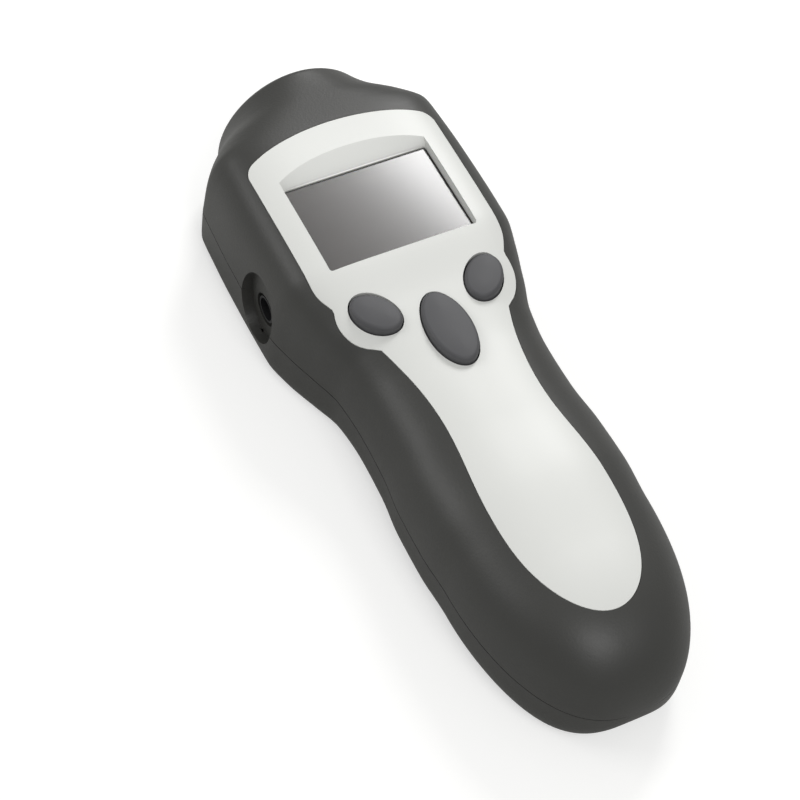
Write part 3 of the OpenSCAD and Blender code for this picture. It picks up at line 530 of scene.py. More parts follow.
# Cuts a piece with others, or joins it to them, by exact booleans, and removes the others
def combine(piece, others, operation="DIFFERENCE"):
    for other in others:
        modifier = piece.modifiers.new("combine", "BOOLEAN")
        modifier.operation = operation
        modifier.solver = "EXACT"
        modifier.object = other
    applyModifiers(piece)
    for other in others:
        bpy.data.objects.remove(other)
    return piece


def shadeByAngle(piece, angle=32):
    piece.data.shade_smooth()
    piece.data.set_sharp_from_angle(angle=radians(angle))
    return piece


# Shades a cut piece: corners on the case's skin take its true direction, the rest stay flat
def shadeBySkin(piece, side, spread=14):
    mesh = piece.data
    limit = cos(radians(spread))
    found = {}
    normals = []
    for face in mesh.polygons:
        centre = face.center / mm
        smooth = face.normal.dot(skinNormal(centre, side)) > limit and onSkin(centre, side)
        for v in face.vertices:
            if smooth and v not in found:
                found[v] = skinNormal(mesh.vertices[v].co / mm, side)
            normals.append(found[v] if smooth else face.normal.copy())
        face.use_smooth = True
    mesh.normals_split_custom_set(normals)
    return piece


# Rounds the sharp edges of a piece, and shades it smooth between its hard edges
def softEdges(piece, width, segments, angle=40):
    bevel = piece.modifiers.new("soft_edges", "BEVEL")
    bevel.width = width * mm
    bevel.segments = segments
    bevel.limit_method = "ANGLE"
    bevel.angle_limit = radians(angle)
    return shadeByAngle(applyModifiers(piece))


# Says what a finished piece rides on, stands for and is made of
def settle(piece, material, body, slot, *replaced):
    piece.data.materials.clear()
    piece.data.materials.append(material)
    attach(piece, body)
    if replaced:
        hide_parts(*replaced)
    print(piece.name + ":", len(piece.data.polygons), "faces")


# The light face panel: a round tip, a swell, a waist, a flare to the head, and an arched top
panel = {
    "thickness": 1.3,
    "halfWidth": 26.2,
    "topY": 74.3,
    "tipY": -77.2,
    "archRadius": 60.0,
    "cornerRadius": 4.5,
    "swellShare": 0.595,
    "waistShare": 0.513,
    "swellY": -44.0,
    "waistY": -16.5,
    "flareY": 27.1,
    "tipPower": 2.4,
    "softness": 0.7,
    "shoulderY": 32.0,
    "lobeMargin": 3.6,
    "gap": 0.15,
    "sideSteps": 150,
    "cornerSteps": 12,
    "archSteps": 24,
}
buttons = {
    "mem": {"node": "mem_button", "x": -14.9, "y": 17.0, "turn": 128, "long": 6.9, "short": 4.8},
    "mode": {"node": "mode_button", "x": 14.9, "y": 17.0, "turn": 52, "long": 6.9, "short": 4.8},
    "meas": {"node": "meas_button", "x": 0.0, "y": 6.5, "turn": 90, "long": 10.9, "short": 5.8},
}


def panelHalf(y):
    full = panel["halfWidth"]
    swell, waist = full * panel["swellShare"], full * panel["waistShare"]
    if y < panel["swellY"]:
        tip = (panel["swellY"] - y) / (panel["swellY"] - panel["tipY"])
        return swell * sqrt(max(0.0, 1 - tip ** panel["tipPower"]))
    if y < panel["waistY"]:
        wave = pi * (y - panel["swellY"]) / (panel["waistY"] - panel["swellY"])
        return (swell + waist) / 2 + (swell - waist) / 2 * cos(wave)
    flare = waist + (full - waist) * ((y - panel["waistY"]) / (panel["flareY"] - panel["waistY"])) ** 2
    soft = panel["softness"]
    return min(flare, full) - soft * log1p(exp(-abs(flare - full) / soft))


# Half width of the lobe that the panel makes round a side button
def lobeHalf(y):
    spot = buttons["mode"]
    a = spot["long"] + panel["lobeMargin"]
    b = spot["short"] + panel["lobeMargin"]
    c, s = cos(radians(spot["turn"])), sin(radians(spot["turn"]))
    dy = y - spot["y"]
    q = (c / a) ** 2 + (s / b) ** 2
    m = dy * c * s * (1 / a**2 - 1 / b**2)
    k = dy * dy * ((s / a) ** 2 + (c / b) ** 2) - 1
    root = m * m - q * k
    return spot["x"] + (sqrt(root) - m) / q if root > 0 else 0.0


def panelOutline(grow):
    corner, arch, tipY, steps = pick(panel, "cornerRadius", "archRadius", "tipY", "sideSteps")
    archY = panel["topY"] - arch
    cornerX = panel["halfWidth"] - corner
    cornerY = archY + sqrt((arch - corner) ** 2 - cornerX**2)
    turn = atan2(cornerY - archY, cornerX)
    side = []
    for k in range(steps + 1):
        y = tipY + (panel["shoulderY"] - tipY) * (1 - cos(pi / 2 * k / steps))
        side.append((max(panelHalf(y), lobeHalf(y)), y))
    for k in range(1, panel["cornerSteps"] + 1):
        a = turn * k / panel["cornerSteps"]
        side.append((cornerX + corner * cos(a), cornerY + corner * sin(a)))
    for k in range(1, panel["archSteps"] + 1):
        a = turn + (pi / 2 - turn) * k / panel["archSteps"]
        side.append((arch * cos(a), archY + arch * sin(a)))
    loop = side + [(-x, y) for x, y in reversed(side[1:-1])]
    grown = []
    for (x0, y0), (x1, y1), (x2, y2) in zip(loop[-1:] + loop[:-1], loop, loop[1:] + loop[:1]):
        dx, dy = x2 - x0, y2 - y0
        size = hypot(dx, dy) or 1
        grown.append((x1 + grow * dy / size, y1 - grow * dx / size))
    return grown


# Display window in its well, with the arched brow above it
window = {
    "width": 40.0,
    "length": 27.5,
    "y": 45.4,
    "topZ": 36.8,
    "bottomZ": 35.2,
    "gap": 0.15,
    "slope": 0.3,
    "corner": 0.6,
    "rim": 0.5,
    "bevel": 0.25,
    "bevelMid": 0.08,
    "lip": 1.3,
    "lipZ": 34.9,
    "bezelZ": 34.1,
    "wellZ": 30.0,
    "margin": 4.5,
    "browRise": 7.2,
    "browMargin": 1.5,
    "browRadius": 48.0,
    "browStep": 0.06,
    "browReach": 0.35,
    "browFoot": 0.1,
    "browZ": 37.0,
    "browOver": 0.3,
    "browPower": 0.8,
    "browSteps": 12,
    "browArcSteps": 40,
}


# The brow's arch, drawn down towards the window by squash
def browOutline(squash):
    top = window["y"] + window["length"] / 2
    half = window["width"] / 2 + window["browReach"]
    radius, steps = window["browRadius"], window["browArcSteps"]
    centre = top + window["browRise"] - radius
    points = [(-half, top - window["browFoot"]), (half, top - window["browFoot"])]
    first = acos(half / radius)
    for k in range(steps + 1):
        a = first + (pi - 2 * first) * k / steps
        points.append((radius * cos(a), top + (centre + radius * sin(a) - top) * squash))
    return points


# The scoop above the window: it rises steeply from the glass and runs out gently into the crown
def browCutter():
    low, over, steps = window["browZ"], case["height"] + window["browOver"], window["browSteps"]
    rings = []
    for k in range(steps + 1):
        t = k / steps
        squash = window["browStep"] + (1 - window["browStep"]) * t
        z = low + (over - low) * t ** window["browPower"]
        rings.append([(x, y, z) for x, y in browOutline(squash)])
    rings.append([(x, y, case["height"] + clear) for x, y, z in rings[-1]])
    return loft("brow_cutter", rings)


# The bezel under the panel, from below the window to above the brow, grown by a gap
def bezelOutline(gap):
    low = window["y"] - window["length"] / 2 - window["margin"] - gap
    high = window["y"] + window["length"] / 2 + window["browRise"] + window["browMargin"] + gap
    return boxOutline(window["width"] + 2 * (window["margin"] + gap), high - low, 0, (low + high) / 2)


# Push buttons: an oval cap with a rounded edge and a low dome, over the flange that holds it in
cap = {
    "topZ": 37.7,
    "flangeZ": 31.0,
    "flangeThick": 0.9,
    "flangeReach": 0.9,
    "round": 1.05,
    "roundSteps": 8,
    "dome": 0.3,
    "domeSteps": 12,
    "ovalSteps": 96,
    "holeGap": 0.35,
    "holeZ": 28.0,
}


def buttonCutters():
    made = []
    for name, spot in buttons.items():
        a, b = spot["long"] + cap["holeGap"], spot["short"] + cap["holeGap"]
        hole = ovalOutline(a, b, spot["x"], spot["y"], radians(spot["turn"]))
        made.append(extrudeOutline(name + "_cutter", hole, cap["holeZ"], above))
    return made


# The power inlet's recess in the left wall, and the hole round its mouth
jack = {
    "y": 42.4,
    "z": 16.5,
    "floorX": 31.2,
    "halfLong": 10.5,
    "halfWide": 8.0,
    "flare": 0.5,
    "flareX": 1.5,
    "noseRadius": 3.85,
    "ease": 0.7,
    "holeX": 26.0,
    "padWall": 1.0,
    "padDepth": 2.0,
}


def jackCutters():
    long, wide, flare = pick(jack, "halfLong", "halfWide", "flare")
    oval = ovalOutline(wide, long, jack["y"], jack["z"])
    mouth = ovalOutline(wide + flare, long + flare, jack["y"], jack["z"])
    outX = -halfWidth - jack["flareX"]
    recess = extrudeOutline("jack_recess_cutter", mouth, outX, -jack["floorX"], "X", oval)
    radius = jack["noseRadius"] + jack["ease"]
    start, end = -halfWidth - clear, -jack["holeX"]
    return [recess, rodAlongX("jack_hole_cutter", radius, start, end, jack["y"], partingZ, 72)]


# What the wall keeps behind the recess
def jackPad(low, high):
    y, half, x, wall, depth = pick(jack, "y", "halfWide", "floorX", "padWall", "padDepth")
    return block("jack_pad", -x - wall, depth - x, y - half - wall, y + half + wall, low, high)


# The nose's bore, and its eased lip
nose = {"boreRadius": 11.4, "z": 18.5, "depth": 4.0, "lip": 0.6, "lipLap": 0.1, "steps": 96}


def noseCutters():
    radius, lip = nose["boreRadius"], nose["lip"]
    circle = ovalOutline(radius, radius, 0, nose["z"], steps=nose["steps"])
    wide = ovalOutline(radius + lip, radius + lip, 0, nose["z"], steps=nose["steps"])
    start = halfLength - lip
    bore = extrudeOutline("nose_cutter", circle, halfLength - nose["depth"], start + nose["lipLap"], "Y")
    return [bore, extrudeOutline("nose_lip_cutter", circle, start, halfLength + sliver, "Y", wide)]


# Upper shell: hollow, with a seat sunk for the panel, button holes, the jack recess and the nose bore
def makeFrontShell():
    shell = halfCase("front_shell_skin", 1, grooved=True)
    inner = halfCase("front_inner", 1, case["wall"], lap, 2)
    combine(inner, [jackPad(partingZ, jack["z"] + jack["halfLong"])])
    combine(shell, [inner])
    seat = extrudeOutline("panel_seat", panelOutline(panel["gap"]), partingZ, above)
    combine(seat, [halfCase("panel_floor", 1, panel["thickness"] + panel["gap"], lap)])
    well = extrudeOutline("display_well", bezelOutline(window["gap"]), window["wellZ"], above)
    combine(shell, [seat, well] + buttonCutters() + jackCutters() + noseCutters())
    return shadeBySkin(shell, 1)


settle(makeFrontShell(), absDark, "case", "shell_grey", "front_shell")


# Face panel: the crown's skin inside the outline, with its well, brow and button holes
def makeFacePanel():
    width, length, y, gap, lip, corner = pick(window, "width", "length", "y", "gap", "lip", "corner")
    piece = extrudeOutline("face_panel_skin", panelOutline(0), partingZ, above)
    combine(piece, [halfCase("panel_top", 1)], "INTERSECT")
    hollow = halfCase("panel_under", 1, panel["thickness"], lap)
    combine(hollow, [extrudeOutline("bezel_keep", bezelOutline(0), window["bezelZ"], above)])
    hole = boxOutline(width - 2 * lip, length - 2 * lip, 0, y)
    through = extrudeOutline("window_through", hole, partingZ, above)
    seat = boxOutline(width + 2 * gap, length + 2 * gap, 0, y, corner)
    well = extrudeOutline("window_well", seat, window["lipZ"], window["topZ"])
    grow = 2 * (gap + window["slope"])
    mouth = boxOutline(width + grow, length + grow, 0, y, corner + window["slope"])
    flare = extrudeOutline("window_flare", seat, window["topZ"] - sliver, case["height"], topOutline=mouth)
    combine(piece, [hollow, through, well, flare, browCutter()] + buttonCutters())
    return shadeBySkin(piece, 1)


settle(makeFacePanel(), absLight, "case", "panel_light", "face_panel")


# The window: a flat slab with ground edges, small corners and a black rim of painted shade, standing for the
# gap round it
def makeWindow():
    low, top, bevel, mid, rim = pick(window, "bottomZ", "topZ", "bevel", "bevelMid", "rim")
    rings = []
    for inset, z in ((0, low), (0, top - bevel), (mid, top - mid), (bevel, top), (rim, top)):
        width, length = window["width"] - 2 * inset, window["length"] - 2 * inset
        loop = boxOutline(width, length, 0, window["y"], window["corner"] - inset / 3)
        rings.append([(x, y, z) for x, y in loop])
    return shadeByAngle(loft("display_window_slab", rings))


glass = makeWindow()
# Its edges and rim are black, painted shade for the shadowed gap round the window
settle(glass, paintedGapShade, "case", "window_clear", "display_window")
# Its last face is the clear one inside the rim
glass.data.materials.append(acrylicWindow)
glass.data.polygons[len(glass.data.polygons) - 1].material_index = 1


def makeButton(spot):
    edge = cap["topZ"] - cap["dome"] - cap["round"]
    flangeTop = cap["flangeZ"] + cap["flangeThick"]
    rim = -cap["flangeReach"]
    profile = [(rim, cap["flangeZ"]), (rim, flangeTop), (0, flangeTop), (0, edge)]
    for k in range(1, cap["roundSteps"] + 1):
        a = pi / 2 * k / cap["roundSteps"]
        profile.append((cap["round"] * (1 - cos(a)), edge + cap["round"] * sin(a)))
    for k in range(1, cap["domeSteps"] + 1):
        t = k / (cap["domeSteps"] + 0.5)
        inset = cap["round"] + (spot["short"] - cap["round"]) * t
        profile.append((inset, cap["topZ"] - cap["dome"] * (1 - t) ** 2))
    rings = []
    for inset, z in profile:
        a, b = spot["long"] - inset, spot["short"] - inset
        loop = ovalOutline(a, b, spot["x"], spot["y"], radians(spot["turn"]), cap["ovalSteps"])
        rings.append([(x, y, z) for x, y in loop])
    return shadeByAngle(loft(spot["node"] + "_cap", rings))


for spot in buttons.values():
    settle(makeButton(spot), softTouch, spot["node"], "button_grey", spot["node"])

# Case screws, sunk in round counterbores of the lower shell
screw = {
    "places": [(-29.2, 66.0), (29.2, 66.0), (-19.8, -6.0), (19.8, -6.0), (0.0, -82.0)],
    "seatZ": 5.0,
    "headRadius": 2.6,
    "headHeight": 2.0,
    "headTaper": 0.8,
    "shankRadius": 1.3,
    "shankLength": 15.0,
    "shankGap": 0.15,
    "crossWidth": 0.75,
    "crossReach": 1.1,
    "crossDeeper": 1.15,
    "boreRadius": 2.8,
    "postRadius": 4.3,
    "postZ": 0.2,
}
# Battery door, on two pins at its tail edge and with a tongue at the other
door = {
    "halfWidth": 14.9,
    "hingeY": -69.0,
    "hingeZ": 1.1,
    "endY": -11.3,
    "thickness": 2.2,
    "edge": 0.3,
    "gap": 0.35,
    "holeZ": 3.2,
    "hingeRoom": 1.5,
    "pinRadius": 0.7,
    "pinLength": 1.5,
    "pinGap": 0.06,
    "tongueHalf": 4.5,
    "tongueY": (-12.3, -9.9),
    "tongueZ": 1.1,
    "tongueEdge": 0.2,
    "gripY": -18.5,
    "gripSize": (15.0, 10.4),
    "gripCorner": 1.6,
    "gripSlope": 0.4,
    "gripDepth": 0.6,
    "ribs": 5,
    "ribStep": 1.9,
    "ribRadius": 0.5,
    "ribLength": 12.4,
    "ribLift": 0.05,
}


def roundPost(name, radius, place, low, high, steps):
    return extrudeOutline(name, ovalOutline(radius, radius, place[0], place[1], steps=steps), low, high)


# Lower shell: hollow, with screw posts, the battery opening, the jack recess and the nose bore
def makeRearShell():
    shell = halfCase("rear_shell_skin", -1, grooved=True)
    inner = halfCase("rear_inner", -1, case["wall"], lap, 2)
    kept = [jackPad(jack["z"] - jack["halfLong"], partingZ)]
    cuts = []
    shank = screw["shankRadius"] + screw["shankGap"]
    for place in screw["places"]:
        kept.append(roundPost("post", screw["postRadius"], place, screw["postZ"], partingZ, 40))
        cuts.append(roundPost("bore", screw["boreRadius"], place, below, screw["seatZ"], 48))
        cuts.append(roundPost("shank_hole", shank, place, screw["seatZ"] - lap, partingZ + clear, 32))
    combine(inner, kept)
    combine(shell, [inner])
    gap, hingeY, hingeZ, top = pick(door, "gap", "hingeY", "hingeZ", "holeZ")
    side = door["halfWidth"] + gap
    pins = side + door["pinLength"]
    tongue = door["tongueHalf"] + gap
    low, high = door["tongueY"]
    cuts += [
        block("door_hole", -side, side, hingeY, door["endY"] + gap, below, top),
        rodAlongX("hinge_room", door["hingeRoom"], -side, side, hingeY, hingeZ),
        rodAlongX("hinge_bores", door["pinRadius"] + door["pinGap"], -pins, pins, hingeY, hingeZ),
        block("tongue_hole", -tongue, tongue, low, high + gap + door["tongueEdge"], below, top),
    ]
    combine(shell, cuts + jackCutters() + noseCutters())
    return shadeBySkin(shell, -1)


# The lower shell takes the darker copy of the ABS, which is painted shade
settle(makeRearShell(), absDarkPaintedShade, "case", "shell_grey", "rear_shell")


# Battery door: a flat plate with eased edges, its barrel, pins and tongue, and a sunk thumb grip
def makeDoor():
    wide, thick, hingeY, hingeZ = pick(door, "halfWidth", "thickness", "hingeY", "hingeZ")
    plate = block("battery_door_plate", -wide, wide, hingeY, door["endY"], 0, thick)
    plate = softEdges(plate, door["edge"], 3)
    reach = wide + door["pinLength"]
    half, (low, high) = pick(door, "tongueHalf", "tongueY")
    tongue = block("tongue", -half, half, low, high, door["tongueZ"], thick - sliver)
    parts = [
        rodAlongX("barrel", thick / 2, -wide, wide, hingeY, hingeZ),
        rodAlongX("pins", door["pinRadius"], -reach, reach, hingeY, hingeZ),
        softEdges(tongue, door["tongueEdge"], 2),
    ]
    combine(plate, parts, "UNION")
    (width, length), slope, corner = pick(door, "gripSize", "gripSlope", "gripCorner")
    mouth = boxOutline(width, length, 0, door["gripY"], corner)
    base = boxOutline(width - 2 * slope, length - 2 * slope, 0, door["gripY"], corner - slope)
    combine(plate, [extrudeOutline("grip_cutter", mouth, -sliver, door["gripDepth"], topOutline=base)])
    return shadeByAngle(plate)


# The door takes the same darker ABS of painted shade
settle(makeDoor(), absDarkPaintedShade, "battery_door", "shell_grey", "battery_door")


# Geometry Nodes: a tree with named sizes, and a base of points that it grows its pieces on
def newTree(name, sizes):
    tree = bpy.data.node_groups.new(name, "GeometryNodeTree")
    tree.interface.new_socket("Geometry", in_out="INPUT", socket_type="NodeSocketGeometry")
    tree.interface.new_socket("Geometry", in_out="OUTPUT", socket_type="NodeSocketGeometry")
    for label, value in sizes.items():
        kind = "NodeSocketInt" if isinstance(value, int) else "NodeSocketFloat"
        tree.interface.new_socket(label, in_out="INPUT", socket_type=kind)
    return tree, tree.nodes.new("NodeGroupInput").outputs, tree.nodes.new("NodeGroupOutput").inputs


def endTree(tree, geometry, material, outputs):
    real = addNode(tree, "GeometryNodeRealizeInstances", {"Geometry": geometry}).outputs[0]
    painted = addNode(tree, "GeometryNodeSetMaterial", {"Geometry": real, "Material": material})
    tree.links.new(painted.outputs[0], outputs["Geometry"])
    return tree


def times(tree, value, factor):
    return addNode(tree, "ShaderNodeMath", {0: value, 1: factor}, operation="MULTIPLY").outputs[0]


def vector(tree, **parts):
    return addNode(tree, "ShaderNodeCombineXYZ", parts).outputs[0]


def moved(tree, geometry, offset):
    return addNode(tree, "GeometryNodeTransform", {"Geometry": geometry, "Translation": offset}).outputs[0]


def united(tree, parts):
    body = addNode(tree, "GeometryNodeMeshBoolean", operation="UNION", solver="EXACT")
    for part in parts:
        tree.links.new(part, body.inputs["Mesh 2"])
    return body.outputs[0]


def onPoints(tree, points, instance, **more):
    inputs = {"Points": points, "Instance": instance, **more}
    return addNode(tree, "GeometryNodeInstanceOnPoints", inputs).outputs[0]


# A round wire along a curve, with closed ends
def roundWire(tree, curve, radius, sides):
    ring = addNode(tree, "GeometryNodeCurvePrimitiveCircle", {"Resolution": sides, "Radius": radius})
    inputs = {"Curve": curve, "Profile Curve": ring.outputs[0], "Fill Caps": True}
    return addNode(tree, "GeometryNodeCurveToMesh", inputs).outputs[0]


# The named sizes of a dictionary in metres, and its counts as they are
def inMetres(table, *keys):
    return {key: table[key] if isinstance(table[key], int) else table[key] * mm for key in keys}


def growOn(name, points, tree, sizes, axes=None):
    mesh = bpy.data.meshes.new(name)
    mesh.from_pydata([Vector(p) * mm for p in points], [], [])
    if axes:
        attribute = mesh.attributes.new("axis", "FLOAT_VECTOR", "POINT")
        for item, axis in zip(attribute.data, axes):
            item.vector = axis
    piece = newObject(name, mesh)
    modifier = piece.modifiers.new(name, "NODES")
    modifier.node_group = tree
    for item in tree.interface.items_tree:
        if item.in_out == "INPUT" and item.name in sizes:
            modifier[item.identifier] = sizes[item.name]
    return shadeByAngle(applyModifiers(piece))


# Pan-head screws, head down, each on one point
def screwTree(sizes):
    tree, inputs, outputs = newTree("pan_head_screws", sizes)
    radius, height, width, long = pick(inputs, "headRadius", "headHeight", "crossWidth", "shankLength")
    sunk = vector(tree, Z=times(tree, height, -1.0))
    taper = times(tree, radius, screw["headTaper"])
    cone = {"Vertices": 40, "Radius Top": radius, "Radius Bottom": taper, "Depth": height}
    head = addNode(tree, "GeometryNodeMeshCone", cone)
    rod = {"Vertices": 24, "Radius": inputs["shankRadius"], "Depth": long}
    shank = addNode(tree, "GeometryNodeMeshCylinder", rod)
    raised = vector(tree, Z=times(tree, long, 0.5))
    body = united(tree, [moved(tree, shank.outputs["Mesh"], raised), moved(tree, head.outputs["Mesh"], sunk)])
    reach = times(tree, radius, screw["crossReach"])
    bars = []
    # One arm is cut a little deeper, so that the two have no face in common
    for x, y, deeper in ((reach, width, 1.0), (width, reach, screw["crossDeeper"])):
        size = vector(tree, X=x, Y=y, Z=times(tree, height, deeper))
        bar = addNode(tree, "GeometryNodeMeshCube", {"Size": size})
        bars.append(moved(tree, bar.outputs["Mesh"], sunk))
    both = {"Mesh 1": body, "Mesh 2": united(tree, bars)}
    cut = addNode(tree, "GeometryNodeMeshBoolean", both, operation="DIFFERENCE", solver="EXACT")
    return endTree(tree, onPoints(tree, inputs["Geometry"], cut.outputs[0]), zincSteel, outputs)


screwSizes = inMetres(screw, "headRadius", "headHeight", "shankRadius", "shankLength", "crossWidth")
screwPoints = [(x, y, screw["seatZ"]) for x, y in screw["places"]]
caseScrews = growOn("case_screws_made", screwPoints, screwTree(screwSizes), screwSizes)
settle(caseScrews, zincSteel, "case", "tin_metal", "case_screws")


# Ribs across the door's thumb grip
def ribTree(sizes):
    tree, inputs, outputs = newTree("grip_ribs", sizes)
    start, end = (vector(tree, X=times(tree, inputs["ribLength"], side)) for side in (-0.5, 0.5))
    line = addNode(tree, "GeometryNodeCurvePrimitiveLine", {"Start": start, "End": end})
    rib = roundWire(tree, line.outputs[0], inputs["ribRadius"], 16)
    step = vector(tree, Y=inputs["ribStep"])
    row = addNode(tree, "GeometryNodeMeshLine", {"Count": inputs["ribs"], "Offset": step})
    rows = onPoints(tree, row.outputs[0], rib)
    # The ribs take the same darker ABS of painted shade
    return endTree(tree, onPoints(tree, inputs["Geometry"], rows), absDarkPaintedShade, outputs)


ribSizes = inMetres(door, "ribs", "ribStep", "ribRadius", "ribLength")
firstRib = (0, door["gripY"] - door["ribStep"] * (door["ribs"] - 1) / 2, door["ribRadius"] + door["ribLift"])
gripRibs = growOn("door_grip_ribs", [firstRib], ribTree(ribSizes), ribSizes)
settle(gripRibs, absDarkPaintedShade, "battery_door", "shell_grey")

# Cells, in two layers, with their springs
cells = {
    "x": 7.35,
    "lowZ": 9.55,
    "highZ": 24.0,
    "bay": (-66.3, -12.9),
    "contact": 0.4,
    "radius": 7.1,
    "length": 49.0,
    "nub": (2.75, 1.2),
    "spring": 2.4,
    "springEnd": 0.3,
}


# Centre line of one cell, and 1 where its cap points to the nose, or else -1
def cellPlace(index):
    x = cells["x"] if index % 2 else -cells["x"]
    z = cells["highZ"] if index > 1 else cells["lowZ"]
    return x, z, 1 if index in (0, 3) else -1


# A piece turned about a line along Y, from its profile of (radius, distance) in mm
def turnedPiece(name, profile, centre, steps=64):
    rings = []
    for radius, reach in profile:
        angles = [2 * pi * k / steps for k in range(steps if radius > 0 else 1)]
        spots = [(radius * cos(a), reach, radius * sin(a)) for a in angles]
        rings.append([Vector(centre) + Vector(spot) for spot in spots])
    return shadeByAngle(loft(name, rings))


# One cell: a sleeve shrunk over its shoulders, and the metal ends that show inside it
def makeCell(index):
    x, z, way = cellPlace(index)
    (nub, rise), r, long = pick(cells, "nub", "radius", "length")
    start = cells["bay"][0] + cells["contact"] + (cells["spring"] if way > 0 else rise)
    base = start if way > 0 else start + long
    sleeve = [
        (0, 0.25), (r - 1.6, 0.25), (r - 1.6, 0.0), (r - 0.7, 0.0), (r - 0.2, 0.25), (r, 0.8),
        (r, long - 0.9), (r - 0.25, long - 0.3), (r - 0.8, long), (r - 2.1, long),
        (r - 2.1, long - 0.2), (0, long - 0.2),
    ]
    metal = [
        (0, long - 0.15), (r - 2.2, long - 0.15), (r - 2.5, long - 0.05), (nub + 0.4, long - 0.05),
        (nub, long + 0.3), (nub, long + rise - 0.25), (nub - 0.3, long + rise), (0, long + rise),
    ]
    made = []
    for profile, name in ((sleeve, "cell_%d_sleeve"), (metal, "cell_%d_cap")):
        placed = [(radius, way * reach) for radius, reach in profile]
        made.append(turnedPiece(name % (index + 1), placed, (x, base, z)))
    return made


for index in range(4):
    sleeve, metal = makeCell(index)
    settle(sleeve, cellFilm, "case", "cell_jacket", "battery_%d" % (index + 1))
    settle(metal, tinnedSteel, "case", "cell_jacket")


# Conical coil springs, each along the axis of its point
def springTree(sizes):
    tree, inputs, outputs = newTree("cell_springs", sizes)
    spiral = {
        "Resolution": 28,
        "Rotations": inputs["Turns"],
        "Start Radius": inputs["Wide radius"],
        "End Radius": inputs["Narrow radius"],
        "Height": inputs["Height"],
    }
    coil = addNode(tree, "GeometryNodeCurveSpiral", spiral)
    wire = roundWire(tree, coil.outputs[0], inputs["Wire radius"], 10)
    axis = addNode(tree, "GeometryNodeInputNamedAttribute", {"Name": "axis"}, data_type="FLOAT_VECTOR")
    turn = addNode(tree, "FunctionNodeAlignRotationToVector", {"Vector": axis.outputs[0]}, axis="Z")
    spread = onPoints(tree, inputs["Geometry"], wire, Rotation=turn.outputs[0])
    return endTree(tree, spread, tinnedSteel, outputs)


springSizes = {
    "Turns": 2.5,
    "Wide radius": 3.7 * mm,
    "Narrow radius": 2.3 * mm,
    "Wire radius": 0.28 * mm,
    "Height": (cells["spring"] - 2 * cells["springEnd"]) * mm,
}
springPoints, springAxes = [], []
for index in range(4):
    x, z, way = cellPlace(index)
    end = cells["bay"][0 if way > 0 else 1] + way * cells["contact"]
    springPoints.append((x, end + way * cells["springEnd"], z))
    springAxes.append((0, way, 0))
springs = growOn("battery_springs_coiled", springPoints, springTree(springSizes), springSizes, springAxes)
settle(springs, tinnedSteel, "case", "spring_steel", "battery_springs")

# Finishes of the CAD nodes that stay in view
nodeFinishes = [
    (foamBlack, ["window_gasket"]),
    (displayGlass, ["lcd_module"]),
    (acetalWhite, ["lcd_frame"]),
    (siliconePink, ["zebra_strips"]),
    (solderMask, ["circuit_board", "sensor_board"]),
    (epoxyBlack, ["controller_chip"]),
    (sleeveBlue, ["capacitors"]),
    (tinnedSteel, ["crystal_can", "tact_switches", "jack_pin", "battery_contacts"]),
    (zincSteel, ["board_screws"]),
    (turnedBrass, ["laser_module", "photo_sensor"]),
    (lensAcrylic, ["laser_lens", "receiver_lens"]),
    (filterWindow, ["nose_window"]),
    (wireJacket, ["jack_leads", "battery_leads"]),
    (nylonBlack, ["mem_plunger", "mode_plunger", "meas_plunger", "optics_block", "board_header"]),
    (nylonBlack, ["dc_jack", "battery_tray"]),
]
for material, names in nodeFinishes:
    for name in names:
        for materialSlot in nodes[name].material_slots:
            materialSlot.material = material
print("finishes on CAD nodes:", sum(len(names) for material, names in nodeFinishes))

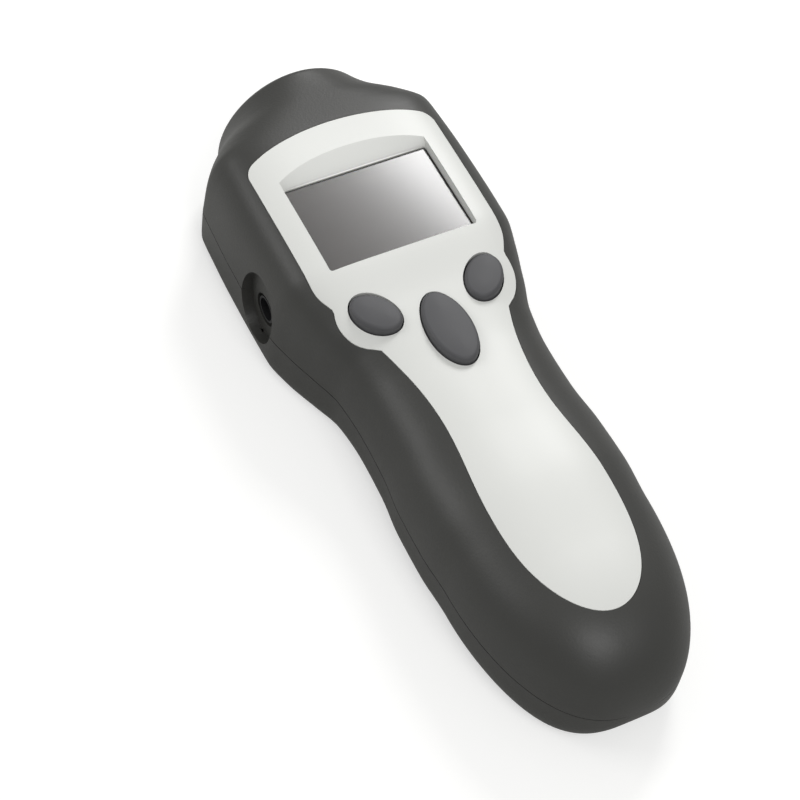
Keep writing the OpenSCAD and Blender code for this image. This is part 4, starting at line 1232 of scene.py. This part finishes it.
# Camera at the photograph's place, found from the object's outline
camera = {
    "place": (-0.21695, -0.28566, 0.52063),
    "right": (0.88787, -0.44863, 0.10205),
    "up": (0.31931, 0.76054, 0.56536),
    "back": (-0.33124, -0.46938, 0.81851),
    "lens": 112.5,
    "sensor": 36.0,
    "nearest": 0.01,
}
cameraData = bpy.data.cameras.new("camera")
cameraData.lens = camera["lens"]
cameraData.sensor_width = camera["sensor"]
cameraData.clip_start = camera["nearest"]
cameraObject = newObject("camera", cameraData)
turn = Matrix((camera["right"], camera["up"], camera["back"])).transposed().to_4x4()
cameraObject.matrix_world = Matrix.Translation(camera["place"]) @ turn
bpy.context.scene.camera = cameraObject

# Pale floor, shown white to the camera with its shadow kept, a plain world and soft boxes
stage = {"floor": "#cbcbc9", "roughness": 0.9, "size": 4.0, "world": 0.4, "lift": 0.52}
bm = bmesh.new()
bmesh.ops.create_grid(bm, x_segments=1, y_segments=1, size=stage["size"] / 2)
floor = meshObject("floor", bm)
floorMaterial, floorTree, floorShader = newMaterial("pale_floor")[:3]
seen = addNode(floorTree, "ShaderNodeLightPath").outputs["Is Camera Ray"]
floorLook = {
    "Base Color": linearColour(stage["floor"]),
    "Roughness": stage["roughness"],
    "Emission Color": linearColour("#ffffff"),
    "Emission Strength": times(floorTree, seen, stage["lift"]),
}
feed(floorTree, floorShader, floorLook)
floor.data.materials.append(floorMaterial)

world = bpy.data.worlds.new("studio")
bpy.context.scene.world = world
world.use_nodes = True
background = world.node_tree.nodes["Background"]
background.inputs["Color"].default_value = linearColour("#ffffff")
background.inputs["Strength"].default_value = stage["world"]

# The key hangs to the right, where the window mirrors its near edge
lamps = [
    {"name": "key_softbox", "place": (0.525, 0.6, 0.72), "aim": (0, 0.42, 0), "size": 0.34, "power": 5.0},
    {"name": "top_softbox", "place": (-0.05, -0.75, 1.05), "aim": (0, -0.1, 0), "size": 0.55, "power": 4.7},
    {"name": "side_softbox", "place": (-0.8, 0.55, 0.65), "aim": (0, 0, 0), "size": 0.5, "power": 2.5},
]
for lamp in lamps:
    data = bpy.data.lights.new(lamp["name"], "AREA")
    data.size = lamp["size"]
    data.energy = lamp["power"]
    light = newObject(lamp["name"], data)
    light.location = lamp["place"]
    light.rotation_euler = (Vector(lamp["aim"]) - light.location).to_track_quat("-Z", "Y").to_euler()
bpy.context.scene.view_settings.view_transform = "Standard"
print("stage and lamps set")
